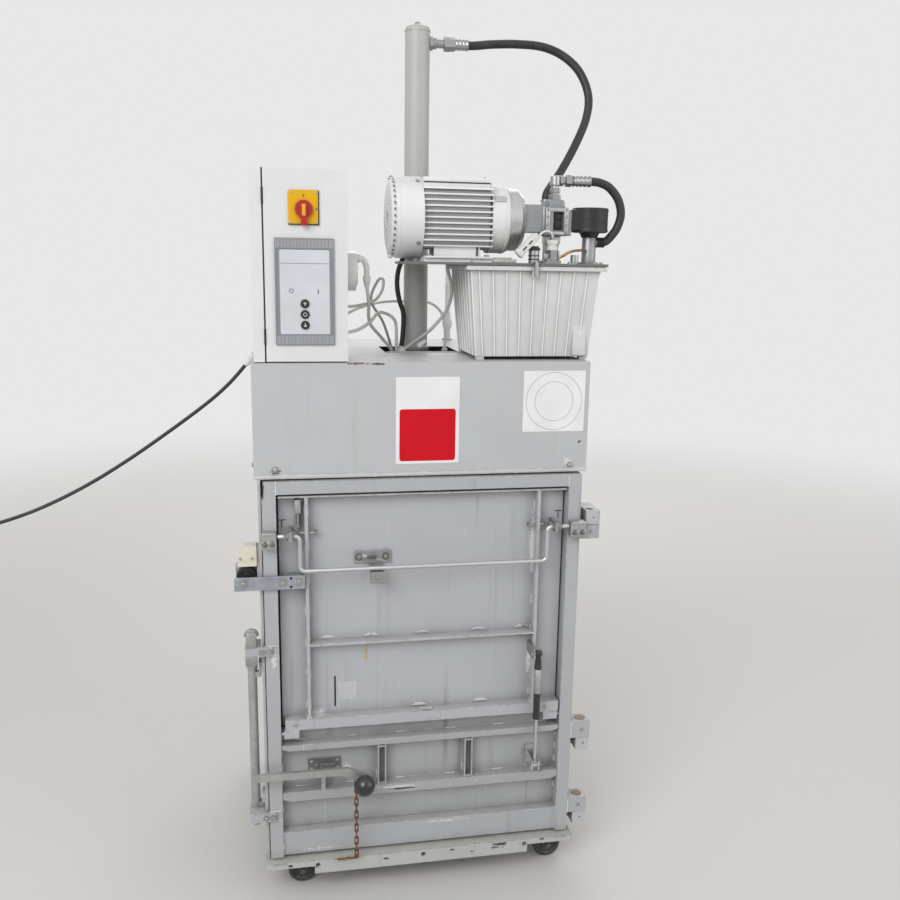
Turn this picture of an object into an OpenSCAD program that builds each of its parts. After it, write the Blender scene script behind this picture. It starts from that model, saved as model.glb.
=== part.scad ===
// Small upright recycling baler on castors: a press chamber with a hinged door and a feed flap,
// a hydraulic power pack on top, a control cabinet and a cylinder that drives the press platen.
// Millimetres. The front faces -Y, +X is to the viewer's right, and the floor is at Z = 0.
// Places inside the modules are measured from the middle of the housing's front edge.

/* [Body] */
// Width of the press body over its side walls
body_w = 746; // [700:1:900]
// Depth of the body from the housing front to the back
body_depth = 640; // [560:1:760]
// Height of the body's top edge above the floor
body_top = 1021; // [1000:1:1100]
// Thickness of the side wall sheet
wall_t = 7; // [4:0.5:10]
// Width of the flat posts inside the side walls
post = 40; // [30:1:50]
// Thickness of these posts
post_t = 12; // [8:1:20]
// Height of the chamber floor sheet above the base frame
floor_rise = 34; // [30:1:60]

/* [Base] */
// Height of the base frame's top above the floor
base_top = 92; // [90:1:100]
// Sheet thickness of the base angles
base_t = 6; // [4:0.5:8]
// Height of the front rail in its middle
rail_h = 35; // [30:1:38]
// Height of the rail ends above the castors
rail_end_h = 15; // [12:1:22]
// Distance that the front rail stands in front of the housing
rail_proud = 30; // [24:1:40]
// Width of one end notch for a castor
notch_w = 115; // [110:1:130]
// Distance between the holes in the front rail
hole_spacing = 254; // [240:1:256]
// Radius of the holes in the front rail
hole_r = 5.5; // [4:0.5:7]

/* [Castors] */
// Radius of a castor wheel
wheel_r = 35; // [30:0.5:36]
// Width of a castor wheel
wheel_w = 24; // [20:1:28]
// Distance of the wheel axle from the swivel axis
castor_trail = 20; // [16:1:24]
// Distance of the swivel axes inside the body's side
castor_in = 64; // [61:1:73]
// Distance of the front swivel axes behind the housing front
castor_front_y = 34; // [30:1:45]
// Radius of the castor axles
axle_r = 4; // [3:0.5:5]

/* [Housing] */
// Distance that the housing stands out past the body on each side
housing_overhang = 7; // [5:1:12]
// Height of the housing cover
housing_h = 256; // [230:1:300]
// Sheet thickness of the housing and the cabinet
sheet_t = 2; // [1.5:0.5:3]
// Size of the opening in the housing top, across
top_hole_w = 184; // [170:1:200]
// Size of the opening in the housing top, front to back
top_hole_d = 168; // [150:1:190]

/* [Door] */
// Height of the door's lower edge above the base frame
door_gap_low = 6; // [5:1:12]
// Gap between the door's top and the housing
door_gap_top = 4; // [3:0.5:8]
// Gap beside and around the door and the flap
door_gap = 1.5; // [1.5:0.1:3]
// Width of the door's side tubes
stile_w = 31; // [28:1:40]
// Height of the door's top tube
top_tube_h = 29; // [26:1:40]
// Depth of the door's tubes, front to back
door_d = 38; // [34:1:44]
// Distance that the door stands in front of the housing
door_proud = 12; // [8:1:16]
// Wall of the door's tubes
tube_wall = 3; // [2:0.5:4]
// Height of the door's bottom tube
bottom_tube_h = 60; // [50:1:70]
// Thickness of the door's and the flap's sheets
panel_t = 4; // [3:0.5:6]
// Height of the lower rib's underside above the floor
low_rib_z = 240; // [225:1:250]
// Height of the lower rib
low_rib_h = 24; // [18:1:30]
// Height of the upper rib's underside above the floor
high_rib_z = 369; // [355:1:372]
// Height of the upper rib
high_rib_h = 16; // [12:1:18]
// Width of a guide channel
channel_w = 21; // [18:1:28]

/* [Hinges] */
// Distance of the door's hinge axis outside the body's side
hinge_out = 23; // [23:1:29]
// Side of a hinge block on the door
hinge_block = 40; // [38:1:42]
// Height of a hinge block on the body
body_block_h = 34; // [30:1:38]
// Radius of the hinge pins
hinge_pin_r = 10; // [8:0.5:11]
// Radial clearance of pins in their bores
pin_fit = 0.05; // [0.02:0.01:0.1]
// Vertical gap between the two blocks of a hinge
hinge_gap = 1; // [0.5:0.1:2]

/* [Flap] */
// Height of the flap's lower rail above the floor
flap_low = 422; // [418:1:440]
// Gap between the flap and the door frame
flap_gap = 3.5; // [3:0.5:6]
// Height of the flap's lower rail
flap_rail_h = 26; // [20:1:34]
// Depth of the flap's ribs in front of its sheet
flap_rib_d = 26; // [20:1:26]
// Thickness of the flap's ribs
flap_rib_t = 8; // [5:0.5:10]
// Distance of the outer face of the upright ribs inside the body's side
flap_rib_in = 101; // [95:1:105]
// Height of the flat rib above the floor
flap_mid_z = 626; // [618:1:720]
// Radius of the flap's hinge pins
flap_pin_r = 5; // [4:0.5:6]

/* [Grip bar] */
// Radius of the round grip bar
grip_r = 5; // [4:0.5:6]
// Height of the grip bar's pivot above the floor
grip_z = 897; // [880:1:910]
// Drop of the grip below its pivot
grip_drop = 82; // [60:1:100]
// Distance of the grip bar in front of the housing
grip_y = 26; // [24:1:32]
// Distance of the grip bar's arms outside the flap's upright ribs
grip_arm_out = 12; // [11:0.5:14]
// Bend radius of the grip bar
grip_bend = 11; // [9:1:16]

/* [Gas spring] */
// Distance of the gas spring inside the flap rib's outer face
spring_in = 1; // [0:0.5:2]
// Distance of the gas spring in front of the housing
spring_y = 35; // [34:1:40]
// Height of the spring's lower pivot above the floor
spring_low_z = 300; // [296:1:306]
// Height of the spring's upper pivot above the floor
spring_high_z = 588; // [580:1:600]
// Radius of the gas spring's cylinder
spring_r = 8; // [7:0.5:9]
// Radius of the gas spring's rod
spring_rod_r = 4; // [3:0.5:5]

/* [Lock lever] */
// Distance of the lock tube's axis outside the body's side
lock_out = 23; // [23:1:29]
// Distance of the lock tube's axis behind the housing front
lock_y = 20; // [18:1:26]
// Radius of the lock tube
lock_r = 10.5; // [9:0.5:11]
// Height of the lock tube's lower end above the floor
lock_low_z = 176; // [160:1:186]
// Height of the lock tube's upper end above the floor
lock_high_z = 640; // [620:1:700]
// Height of the lock arm above the floor
lock_arm_z = 326; // [318:1:334]
// Length of the lock arm
lock_arm_l = 202; // [180:1:210]
// Radius of the ball knob
knob_r = 24.3; // [20:0.1:26]
// Pitch of the chain's links
chain_pitch = 17; // [16:0.5:18]
// Radius of the chain's wire
chain_wire_r = 1.7; // [1.4:0.1:1.8]
// Number of links in the chain
chain_links = 11; // [6:1:11]

/* [Press] */
// Outer radius of the hydraulic cylinder
cylinder_r = 30; // [28:0.5:34]
// Bore radius of the hydraulic cylinder
cylinder_bore = 25; // [22:0.5:26]
// Height of the cylinder's top above the floor
cylinder_top = 2043; // [1990:1:2060]
// Distance of the cylinder from the middle plane, to the right
cylinder_x = 21; // [15:1:30]
// Distance of the cylinder behind the housing front
cylinder_y = 316; // [310:1:330]
// Radius of the piston rod
rod_r = 18; // [14:0.5:20]
// Height of the press platen's underside at rest
platen_z = 990; // [988:1:1000]
// Thickness of the platen's sheet
platen_t = 10; // [8:1:14]
// Clearance of the platen from the chamber walls
platen_gap = 5; // [4:0.5:10]

/* [Cabinet] */
// Width of the control cabinet
cabinet_w = 201; // [180:1:210]
// Height of the control cabinet
cabinet_h = 401; // [390:1:440]
// Depth of the control cabinet behind the housing front
cabinet_d = 165; // [120:1:170]
// Width of the fixed strip beside the cabinet door
strip_w = 24; // [18:1:30]
// Width of the groove beside the cabinet door
groove_w = 3; // [3:0.1:4]
// Side of the main switch's plate, across
switch_w = 64; // [60:1:70]
// Height of the keypad
keypad_h = 223; // [215:1:230]
// Width of the keypad
keypad_w = 124; // [110:1:130]
// Radius of a push button
button_r = 9; // [7:0.5:10]
// Distance between the push buttons
button_pitch = 22.5; // [21:0.5:26]

/* [Power pack] */
// Width of the oil tank at its top
tank_w = 309; // [290:1:318]
// Depth of the oil tank at its top
tank_d = 240; // [220:1:250]
// Height of the oil tank
tank_h = 198; // [180:1:220]
// Share of the tank's top size that its bottom has
tank_taper = 0.885; // [0.8:0.01:0.95]
// Wall of the oil tank
tank_wall = 4; // [3:0.5:6]
// Distance of the tank's middle from the middle plane, to the right
tank_x = 254; // [248:1:258]
// Distance of the tank's middle behind the housing front
tank_y = 150; // [145:1:155]
// Radius of the motor's frame over its fins
motor_r = 76; // [70:1:80]
// Radius of the fan cowl
cowl_r = 91; // [86:1:94]
// Height of the motor shaft above the tank lid
shaft_h = 98; // [95:1:102]
// Radius of the motor shaft
shaft_r = 12; // [9:0.5:14]
// Radius of the drive flange
flange_r = 70; // [62:1:72]

/* [Safety switch] */
// Height of the safety bar
safety_h = 31; // [25:1:34]
// Length of the safety bar
safety_l = 155; // [150:1:158]
// Height of the safety bar's middle above the floor
safety_z = 788; // [780:1:796]
// Radius of the switch roller
roller_r = 22; // [18:1:23]

/* [Hidden] */
$fn = 48;

// Colours
PAINT = "#c3c7c6";
WHITE = "#e6e4da";
STEEL = "#a9adb0";
BLACK = "#26272b";

// Place of the housing front's middle, so that the whole machine stands centred on the origin
machine_x = -33;
machine_y = -272;

// A gap that keeps seated pieces apart
seat = 0.3;

// Body
wall_out = body_w / 2;
wall_in = wall_out - wall_t;
door_back = door_d - door_proud;
wall_front = door_back + 2;
floor_z = base_top + floor_rise;
wall_strip_y = 4;
back_sheet = 6;
back_ribs = 34;
rail_len = 2 * wall_out + 8;
base_flange = 45;

// Castors
castor_x = wall_out - castor_in;
castor_top = base_top - base_t;
castor_plate_t = 3;
race_r = 20;
race_h = 3;
fork_t = 3;
fork_gap = 2;
fork_top = castor_top - castor_plate_t - race_h;
swivel_r = 6;
swivel_depth = 2;
castor_rear_y = body_depth - castor_front_y - 18;
castor_plate = [62, 56];

// Door
door_left = -wall_in + door_gap;
door_right = wall_out - 5;
window_left = door_left + stile_w;
window_right = door_right - stile_w;
door_low = base_top + door_gap_low;
door_top = body_top - door_gap_top;
window_top = door_top - top_tube_h;
panel_y = door_back - panel_t - 4;
rib_y = -door_proud + 2;
rib_chamfer = 18;
notch_h = 34;
notch_d = 2.5;
channel_t = 4;
bottom_y = -door_proud + 6;

// Hinges
hinge_x = wall_out + hinge_out;
hinge_y = 8;
hinges = [[860, 32, false], [347, 43, true], [143, 40, true]];
body_block_x = hinge_x - 13;
body_block_w = hinge_block - 6;

// Flap
flap_rib_x = wall_out - flap_rib_in;
flap_left = window_left + flap_gap;
flap_right = window_right - flap_gap;
flap_top = window_top - flap_gap - 1.5;
flap_front = panel_y - flap_rib_d;
flap_axis_y = flap_front + 6;
flap_lug_h = 18;
flap_axis_z = flap_low - flap_lug_h / 2 - 1;
flap_lug_w = 38;
flap_lug_d = 20;
bar_in = flap_rib_x - flap_rib_t;

// Grip bar
grip_arm_x = flap_rib_x + grip_arm_out;
grip_end_gap = 2;
lug_w = 8;
lug_h = 22;
keeper_h = 34;
catch_x = -127;
catch_w = 30;
catch_plate_w = 85;
catch_plate_h = 28;

// Gas spring
spring_x = flap_rib_x - spring_in;
spring_travel = 88;
eye_w = 12;
eye_r = 8;
ear_t = 4;
spring_pin_r = 4;
spring_body_low = 420;
spring_pin_gap = 0.4;
spring_axis_y = -spring_y;

// Lock lever
lock_x = wall_out + lock_out;
bearing_h = 22;
cam_t = 12;
cam_gap = 2;
bearing_y = door_proud + 7;
bearing_wall = 3;
arm_y = -40;
arm_h = 17;
arm_t = 9;
knob_drop = 22;
knob_y = -72;
knob_dx = 48;
stud_r = 5;
lock_bearing_zs = [lock_low_z + 22, lock_high_z - 26];
lock_keeper_zs = [lock_low_z + 22 + bearing_h + cam_t + 4, lock_high_z - 74];
lock_top_link = 17;
keeper_t = 24;
keeper_d = 8;
strike_x = -273;
strike_w = 78;
strike_z = 298;

// Chain: its top link hangs on a small pin below the lock arm
link_ring = 3.6;
link_reach = chain_pitch / 2 - 1.6;
chain_x = -lock_x + lock_arm_l + knob_dx - 17;
chain_z = lock_arm_z - knob_drop - 19;
chain_pin_r = link_ring - chain_wire_r - pin_fit;

// Press
cylinder_low = body_top + 25;
cylinder_floor = 14;
beam_d = 92;
beam_low = body_top + 12;
beam_h = 70;
piston_h = 34;
platen_rib_h = 18;
platen_back_gap = 8;

// Housing and cabinet
housing_out = wall_out + housing_overhang;
housing_top = body_top + housing_h;
cabinet_left = -wall_out;
cabinet_right = cabinet_left + cabinet_w;
cabinet_z = housing_top + 2;
door_front = -4;
cabinet_door_t = 20;
cabinet_door_left = cabinet_left + strip_w + groove_w;
cabinet_hinge_r = 1.2;
panel_mid = cabinet_left + 110;
switch_z = cabinet_z + 322;
switch_h = 71;
knob_z = switch_z - 3;
switch_bezel_t = 3;
switch_knob_r = 18;
keypad_z = cabinet_z + 37;
keypad_t = 3;
button_z = cabinet_z + 124;
button_travel = 2.5;
button_proud = 3;
button_fit = 0.2;
socket_y = 100;
socket_z = cabinet_z + 192;
socket_r = 43;
socket_t = 24;

// Power pack
tank_low = housing_top + 8;
tank_top = tank_low + tank_h;
rim_t = 5;
rim_out = 8;
lid_low = tank_top + rim_t + 1.2;
lid_t = 6;
lid_top = lid_low + lid_t;
lid_left = -36;
lid_right = tank_x + tank_w / 2 + 10;
axis_z = lid_top + shaft_h;
motor_left = 3;
motor_right = 161;
shield_right = 201;
flange_right = 242;
cowl_left = -70;
cowl_seat = 8;
fin_pitch = 12.5;
fin_t = 3.5;
shell_r = 62;
shell_bore = 50;
valve_left = 290;
valve_right = 354;
filter_x = 407;
filter_y = 130;
filter_r = 42;
filter_neck = 36;

// Safety switch
switch_x = wall_out + 29;
switch_mid_y = 15;
safety_y = -20;
safety_t = 5;
safety_spacer = 49;
roller_z = 797;
roller_w = 16;
cover_z = roller_z + roller_r + 5;

// Hose and cable routes, points chosen by hand along each centre line
hose_r = 10;
pressure_route = [
    [139, 316, 2007], [153, 316, 2007], [172, 316, 2009], [205, 315, 2013], [263, 312, 2016],
    [327, 306, 2012],
    [378, 298, 1992], [418, 288, 1955], [438, 274, 1900], [431, 262, 1845], [404, 248, 1785],
    [369, 234, 1725], [339, 222, 1683], [325, 212, 1665], [321, 210, 1653],
    [321, 210, 1642]
];
return_route = [
    [399, 130, 1684], [412, 130, 1684], [428, 130, 1682], [451, 130, 1672], [474, 130, 1646],
    [483, 130, 1612],
    [475, 130, 1581], [461, 130, 1561], [450, 130, 1550], [440, 130, 1546],
    [431, 130, 1546]
];
cable_r = 4;
cable_routes = [
    [[-145, 110, 1500], [-130, 112, 1498], [-121, 118, 1480], [-119, 130, 1440], [-112, 160, 1400],
     [-104, 220, 1350], [-70, 270, 1310], [-45, 285, 1281], [-42, 290, 1268]],
    [[-170, 120, 1392], [-140, 150, 1393], [-100, 175, 1402], [-78, 190, 1426], [-74, 200, 1452],
     [-84, 230, 1448], [-95, 280, 1400], [-60, 330, 1345], [-36, 355, 1281], [-34, 360, 1268]],
    [[-170, 100, 1335], [-140, 140, 1338], [-107, 190, 1352], [-78, 230, 1374], [-40, 255, 1355],
     [-34, 262, 1310], [-34, 266, 1268]],
    [[-170, 140, 1372], [-130, 200, 1386], [-60, 380, 1392], [0, 410, 1394], [60, 400, 1394],
     [92, 350, 1370], [100, 330, 1320], [98, 322, 1268]],
    [[-22, 262, 1268], [-14, 258, 1281], [10, 248, 1302], [43, 220, 1332], [74, 202, 1372],
     [87, 190, 1405], [88, 180, 1430], [83, 170, 1453], [75, 163, 1474], [72, 160, 1489]]
];
motor_cable_r = 6;
motor_cable_route = [
    [-20, 292, 1268], [-14, 292, 1320], [-13, 292, 1368], [-23, 292, 1400], [-29, 292, 1438],
    [-26, 292, 1473], [-15, 291, 1503], [-4, 286, 1532], [22, 272, 1578], [50, 257, 1620],
    [62, 248, 1650], [67, 237, 1663], [68, 225, 1668], [68, 212.6, 1668]
];

// Power cable: it leaves the housing's left side and runs down to the left in one shallow sag
power_r = 4.5;
power_exit = [-402, 300, 1240];
power_dir = [-16, 0, -19];
power_route = [
    [-402, 300, 1240], [-418, 300, 1221], [-440, 300, 1197], [-472, 300, 1167], [-513, 300, 1134],
    [-560, 300, 1099], [-610, 300, 1063], [-660, 300, 1028], [-710, 300, 995], [-760, 300, 964],
    [-810, 300, 936], [-860, 300, 911], [-910, 300, 889], [-960, 300, 871], [-1010, 300, 856],
    [-1060, 300, 843]
];
plug_dir = [-50, 0, -13];

// Helpers
module in_frame() {
    translate([machine_x, machine_y, 0])
        children();
}

module block(low, high) {
    translate(low)
        cube(high - low);
}

// Cylinders along X, Y and Z from a start point
module along_x(p, length, r) {
    translate(p)
        rotate([0, 90, 0])
            cylinder(h = length, r = r);
}

module along_y(p, length, r) {
    translate(p)
        rotate([-90, 0, 0])
            cylinder(h = length, r = r);
}

module along_z(p, length, r) {
    translate(p)
        cylinder(h = length, r = r);
}

// A rectangle with round corners, centred
module rounded(w, h, r) {
    square([w - 2 * r, h], center = true);
    square([w, h - 2 * r], center = true);
    for (x = [-1, 1], y = [-1, 1])
        translate([x * (w / 2 - r), y * (h / 2 - r)])
            circle(r);
}

// A hollow tube of rectangular section, open at both ends of the given axis
module box_tube(low, high, wall, axis) {
    inset = [for (i = [0:2]) i == axis ? -1 : wall];
    difference() {
        block(low, high);
        block(low + inset, high - inset);
    }
}

// Smooth route through points, and a round tube swept along it
function unit(v) = v / norm(v);
function blend(a, b, c, d, t) =
    (2 * b + (c - a) * t + (2 * a - 5 * b + 4 * c - d) * t * t
        + (3 * b - a - 3 * c + d) * t * t * t) / 2;
function smooth(p, n) =
    let (k = len(p) - 1)
    concat(
        [for (i = [0:k - 1], j = [0:n - 1])
            blend(i == 0 ? 2 * p[0] - p[1] : p[i - 1], p[i], p[i + 1],
                i == k - 1 ? 2 * p[k] - p[k - 1] : p[i + 2], j / n)],
        [p[k]]);
function tangents(p) =
    [for (i = [0:len(p) - 1]) unit(p[min(i + 1, len(p) - 1)] - p[max(i - 1, 0)])];
function square_to(v, t) = unit(v - (v * t) * t);
function carried(t, start, i = 0, made = []) =
    i == len(t)
        ? made
        : carried(t, start, i + 1, concat(made, [square_to(i == 0 ? start : made[i - 1], t[i])]));

module swept(route, r, sides = 8, steps = 2) {
    path = smooth(route, steps);
    t = tangents(path);
    n = carried(t, abs(t[0].y) < 0.9 ? [0, 1, 0] : [0, 0, 1]);
    last = len(path) - 1;
    points = [for (i = [0:last], k = [0:sides - 1])
        path[i] + r * (cos(360 * k / sides) * n[i] + sin(360 * k / sides) * cross(t[i], n[i]))];
    walls = [for (i = [0:last - 1], k = [0:sides - 1])
        let (a = i * sides + k, b = i * sides + (k + 1) % sides)
            each [[a, a + sides, b + sides], [a, b + sides, b]]];
    first_cap = [for (k = [0:sides - 1]) k];
    last_cap = [for (k = [sides - 1:-1:0]) last * sides + k];
    polyhedron(points, concat(walls, [first_cap, last_cap]), convexity = 10);
}

// Base and castors
module base_angles() {
    half = rail_len / 2;
    low = base_top - rail_h;
    front = -rail_proud;
    difference() {
        union() {
            block([-half, front, low], [half, front + base_t, base_top]);
            block([-half, front, base_top - base_t], [half, front + base_flange, base_top]);
        }
        for (side = [-1, 1])
            block([side * half - notch_w, front - 1, low - 1],
                [side * half + notch_w, front + base_t + 1, base_top - rail_end_h]);
        for (i = [-1:1])
            along_y([i * hole_spacing, front - 1, base_top - 12], base_t + 2, hole_r);
    }
    for (side = [-1, 1]) {
        edge = side * wall_out;
        block([min(edge, edge - side * base_t), front + base_flange, base_top - rail_end_h],
            [max(edge, edge - side * base_t), body_depth, base_top]);
        block([min(edge, edge - side * 2 * base_flange), front + base_flange - 1,
                base_top - base_t],
            [max(edge, edge - side * 2 * base_flange), body_depth, base_top]);
    }
    block([-wall_out, body_depth - base_flange, base_top - base_t],
        [wall_out, body_depth, base_top]);
    block([-wall_out, body_depth - base_t, base_top - rail_end_h],
        [wall_out, body_depth, base_top]);
}

module base_frame() in_frame() color(PAINT)
    difference() {
        union() {
            base_angles();
            for (side = [-1, 1], rear = [false, true])
                translate(castor_place(side, rear))
                    block([-castor_plate.x / 2, -castor_plate.y / 2,
                            castor_top - castor_plate_t],
                        [castor_plate.x / 2, castor_plate.y / 2, castor_top]);
        }
        for (side = [-1, 1], rear = [false, true])
            along_z(castor_place(side, rear) + [0, 0, castor_top - castor_plate_t - 1],
                castor_plate_t + swivel_depth + 1, swivel_r + pin_fit);
    }

function castor_place(side, rear) =
    [side * castor_x, rear ? castor_rear_y : castor_front_y, 0];

module castor_fork(side, rear) in_frame() color(STEEL) translate(castor_place(side, rear)) {
    inner = wheel_w / 2 + fork_gap;
    along_z([0, 0, fork_top], race_h - seat, race_r);
    along_z([0, 0, fork_top], race_h + castor_plate_t + swivel_depth - seat, swivel_r);
    translate([0, 0, fork_top - fork_t])
        linear_extrude(fork_t)
            union() {
                circle(race_r + 2);
                translate([0, -inner - fork_t])
                    square([castor_trail + 10, 2 * (inner + fork_t)]);
            }
    for (s = [-1, 1])
        translate([0, s * (inner + fork_t / 2) + fork_t / 2, 0])
            rotate([90, 0, 0])
                linear_extrude(fork_t)
                    union() {
                        translate([castor_trail, wheel_r])
                            circle(axle_r + 6);
                        polygon([
                            [0, fork_top], [castor_trail + 10, fork_top],
                            [castor_trail + axle_r + 6, wheel_r],
                            [castor_trail - axle_r - 6, wheel_r]
                        ]);
                    }
    along_y([castor_trail, -inner - fork_t - 2, wheel_r], 2 * (inner + fork_t + 2), axle_r);
}

module castor_wheel(side, rear) in_frame() color(BLACK) translate(castor_place(side, rear))
    translate([castor_trail, 0, wheel_r])
        rotate([90, 0, 0])
            rotate_extrude()
                polygon([
                    [axle_r + pin_fit, -wheel_w / 2 - 1], [axle_r + 5, -wheel_w / 2 - 1],
                    [axle_r + 6, -wheel_w / 2 + 3], [wheel_r - 12, -wheel_w / 2 + 3],
                    [wheel_r - 10, -wheel_w / 2], [wheel_r - 3, -wheel_w / 2],
                    [wheel_r, -wheel_w / 2 + 4], [wheel_r, wheel_w / 2 - 4],
                    [wheel_r - 3, wheel_w / 2], [wheel_r - 10, wheel_w / 2],
                    [wheel_r - 12, wheel_w / 2 - 3], [axle_r + 6, wheel_w / 2 - 3],
                    [axle_r + 5, wheel_w / 2 + 1], [axle_r + pin_fit, wheel_w / 2 + 1]
                ]);

// Press body
module chamber_floor() in_frame() color(PAINT) {
    side = wall_in - post_t - seat;
    back = body_depth - back_ribs;
    block([-side, wall_front, floor_z - panel_t], [side, back, floor_z]);
    block([-wall_in + seat, wall_front + post + seat, floor_z - panel_t],
        [wall_in - seat, back - post - seat, floor_z]);
    for (x = [-side, -60, 60 - panel_t, side - panel_t])
        block([x, wall_front, base_top], [x + panel_t, back, floor_z]);
}

module side_wall(side) in_frame() color(PAINT) mirror([side < 0 ? 1 : 0, 0, 0]) {
    front = side < 0 ? -wall_strip_y : wall_front;
    back = body_depth - back_ribs;
    block([wall_in, front, base_top], [wall_out, body_depth, body_top]);
    for (y = [wall_front, back - post])
        block([wall_in - post_t, y, base_top], [wall_in, y + post, body_top]);
}

module back_wall() in_frame() color(PAINT) {
    side = wall_in - seat;
    back = body_depth - back_ribs + seat;
    block([-side, back, base_top], [side, back + back_sheet, body_top]);
    for (z = [base_top, body_top * 0.4, body_top * 0.7, body_top - post])
        box_tube([-side, back + back_sheet, z], [side, body_depth, z + post], tube_wall, 0);
}

// Everything small that is fixed on the body: hinge blocks, lock keepers, the switch bracket
module body_hinge_block(z) {
    top = z + body_block_h;
    difference() {
        union() {
            block([body_block_x, -body_block_w / 2 + hinge_y, z],
                [body_block_x + body_block_w, body_block_w / 2 + hinge_y, top]);
            block([wall_out, body_block_w / 2 + hinge_y, z],
                [body_block_x + body_block_w, wall_front + post, top]);
        }
        along_z([hinge_x, hinge_y, z - 1], body_block_h + 2, hinge_pin_r);
        along_y([hinge_x + 6, -body_block_w / 2 + hinge_y - 1, (z + top) / 2], 5, 2.5);
    }
}

function body_block_z(h) = h[2] ? h[0] - hinge_gap - body_block_h : h[0] + h[1] + hinge_gap;

module body_brackets() in_frame() color(PAINT) {
    for (h = hinges)
        body_hinge_block(body_block_z(h));
    for (z = lock_keeper_zs)
        block([-wall_out - keeper_d, lock_y - 15, z], [-wall_out, lock_y + 15, z + keeper_t]);
    x = -switch_x;
    back = switch_mid_y + roller_w / 2 + 2;
    block([x - 24, back, roller_z - 26], [-wall_out, back + 4, cover_z - seat]);
    block([-wall_out - 5, 0, roller_z - 26], [-wall_out, back + 8, cover_z + 44]);
    along_y([x, switch_mid_y - roller_w / 2 - 2, roller_z], roller_w + 6, axle_r);
}

module hinge_pins() in_frame() color(STEEL)
    for (h = hinges) {
        low = h[2] ? body_block_z(h) + 2 : h[0] + 6;
        high = h[2] ? h[0] + h[1] - 7 : body_block_z(h) + body_block_h - 3;
        along_z([hinge_x, hinge_y, low], high - low, hinge_pin_r);
    }

// Housing: an open-bottomed sheet box with a cut-out round the cylinder
module housing_cover() in_frame() color(PAINT) {
    hole_x = cylinder_x + 7 - top_hole_w / 2;
    hole_y = cylinder_y - top_hole_d / 2;
    difference() {
        block([-housing_out, 0, body_top], [housing_out, body_depth, housing_top]);
        block([-housing_out + sheet_t, sheet_t, body_top - 1],
            [housing_out - sheet_t, body_depth - sheet_t, housing_top - sheet_t]);
        block([hole_x, hole_y, housing_top - 10],
            [hole_x + top_hole_w, hole_y + top_hole_d, housing_top + 1]);
    }
    for (s = [-1, 1])
        block([min(s * wall_in, s * (housing_out - sheet_t)), sheet_t, body_top],
            [max(s * wall_in, s * (housing_out - sheet_t)), body_depth - sheet_t,
                body_top + sheet_t]);
}

module cross_beam() in_frame() color(PAINT) {
    low = cylinder_y - beam_d / 2;
    high = cylinder_y + beam_d / 2;
    difference() {
        union() {
            box_tube([-housing_out + sheet_t, low, beam_low], [housing_out - sheet_t, high,
                beam_low + beam_h], wall_t, 0);
            along_z([cylinder_x, cylinder_y, beam_low], beam_h, cylinder_r + 10);
        }
        along_z([cylinder_x, cylinder_y, beam_low - 1], beam_h + 2, cylinder_r);
    }
    for (s = [-1, 1])
        block([min(s * wall_out, s * (wall_in - post)), low, body_top + sheet_t],
            [max(s * wall_out, s * (wall_in - post)), high, beam_low]);
}

// Hydraulic cylinder: a tube with a domed cap and a gland at the bottom
module cylinder_tube() {
    translate([cylinder_x, cylinder_y, 0])
        rotate_extrude()
            polygon([
                [cylinder_bore, cylinder_low + cylinder_floor], [cylinder_bore, cylinder_top - 12],
                [0, cylinder_top - 12], [0, cylinder_top], [cylinder_r - 8, cylinder_top],
                [cylinder_r - 2, cylinder_top - 3], [cylinder_r, cylinder_top - 8],
                [cylinder_r, cylinder_low], [rod_r + pin_fit, cylinder_low],
                [rod_r + pin_fit, cylinder_low + cylinder_floor]
            ]);
}

module cylinder_body() in_frame() color(WHITE) {
    port_z = cylinder_top - 37;
    difference() {
        cylinder_tube();
        along_x([cylinder_x + cylinder_bore - 2, cylinder_y, port_z], 12, 6);
    }
    along_z([cylinder_x, cylinder_y, cylinder_top], 8, 3);
}

module piston_rod() in_frame() color(STEEL) translate([cylinder_x, cylinder_y, 0]) {
    low = platen_z + platen_t;
    piston_top = cylinder_top - 14;
    along_z([0, 0, low], piston_top - low - piston_h / 2, rod_r);
    along_z([0, 0, piston_top - piston_h], piston_h, cylinder_bore - pin_fit);
}

module press_platen() in_frame() color(PAINT) {
    side = wall_in - post_t - platen_gap;
    front = wall_front + post / 4;
    back = body_depth - back_ribs - platen_back_gap;
    top = platen_z + platen_t;
    difference() {
        union() {
            block([-side, front, platen_z], [side, back, top]);
            for (x = [-side, -side / 2, side / 2, side - 6])
                block([x, front, top], [x + 6, back, top + platen_rib_h]);
            for (y = [cylinder_y - 50, cylinder_y + 44])
                block([-side, y, top], [side, y + 6, top + platen_rib_h]);
            along_z([cylinder_x, cylinder_y, top], platen_rib_h + 2, rod_r + 12);
        }
        along_z([cylinder_x, cylinder_y, top], platen_rib_h + 3, rod_r);
    }
}

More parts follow.
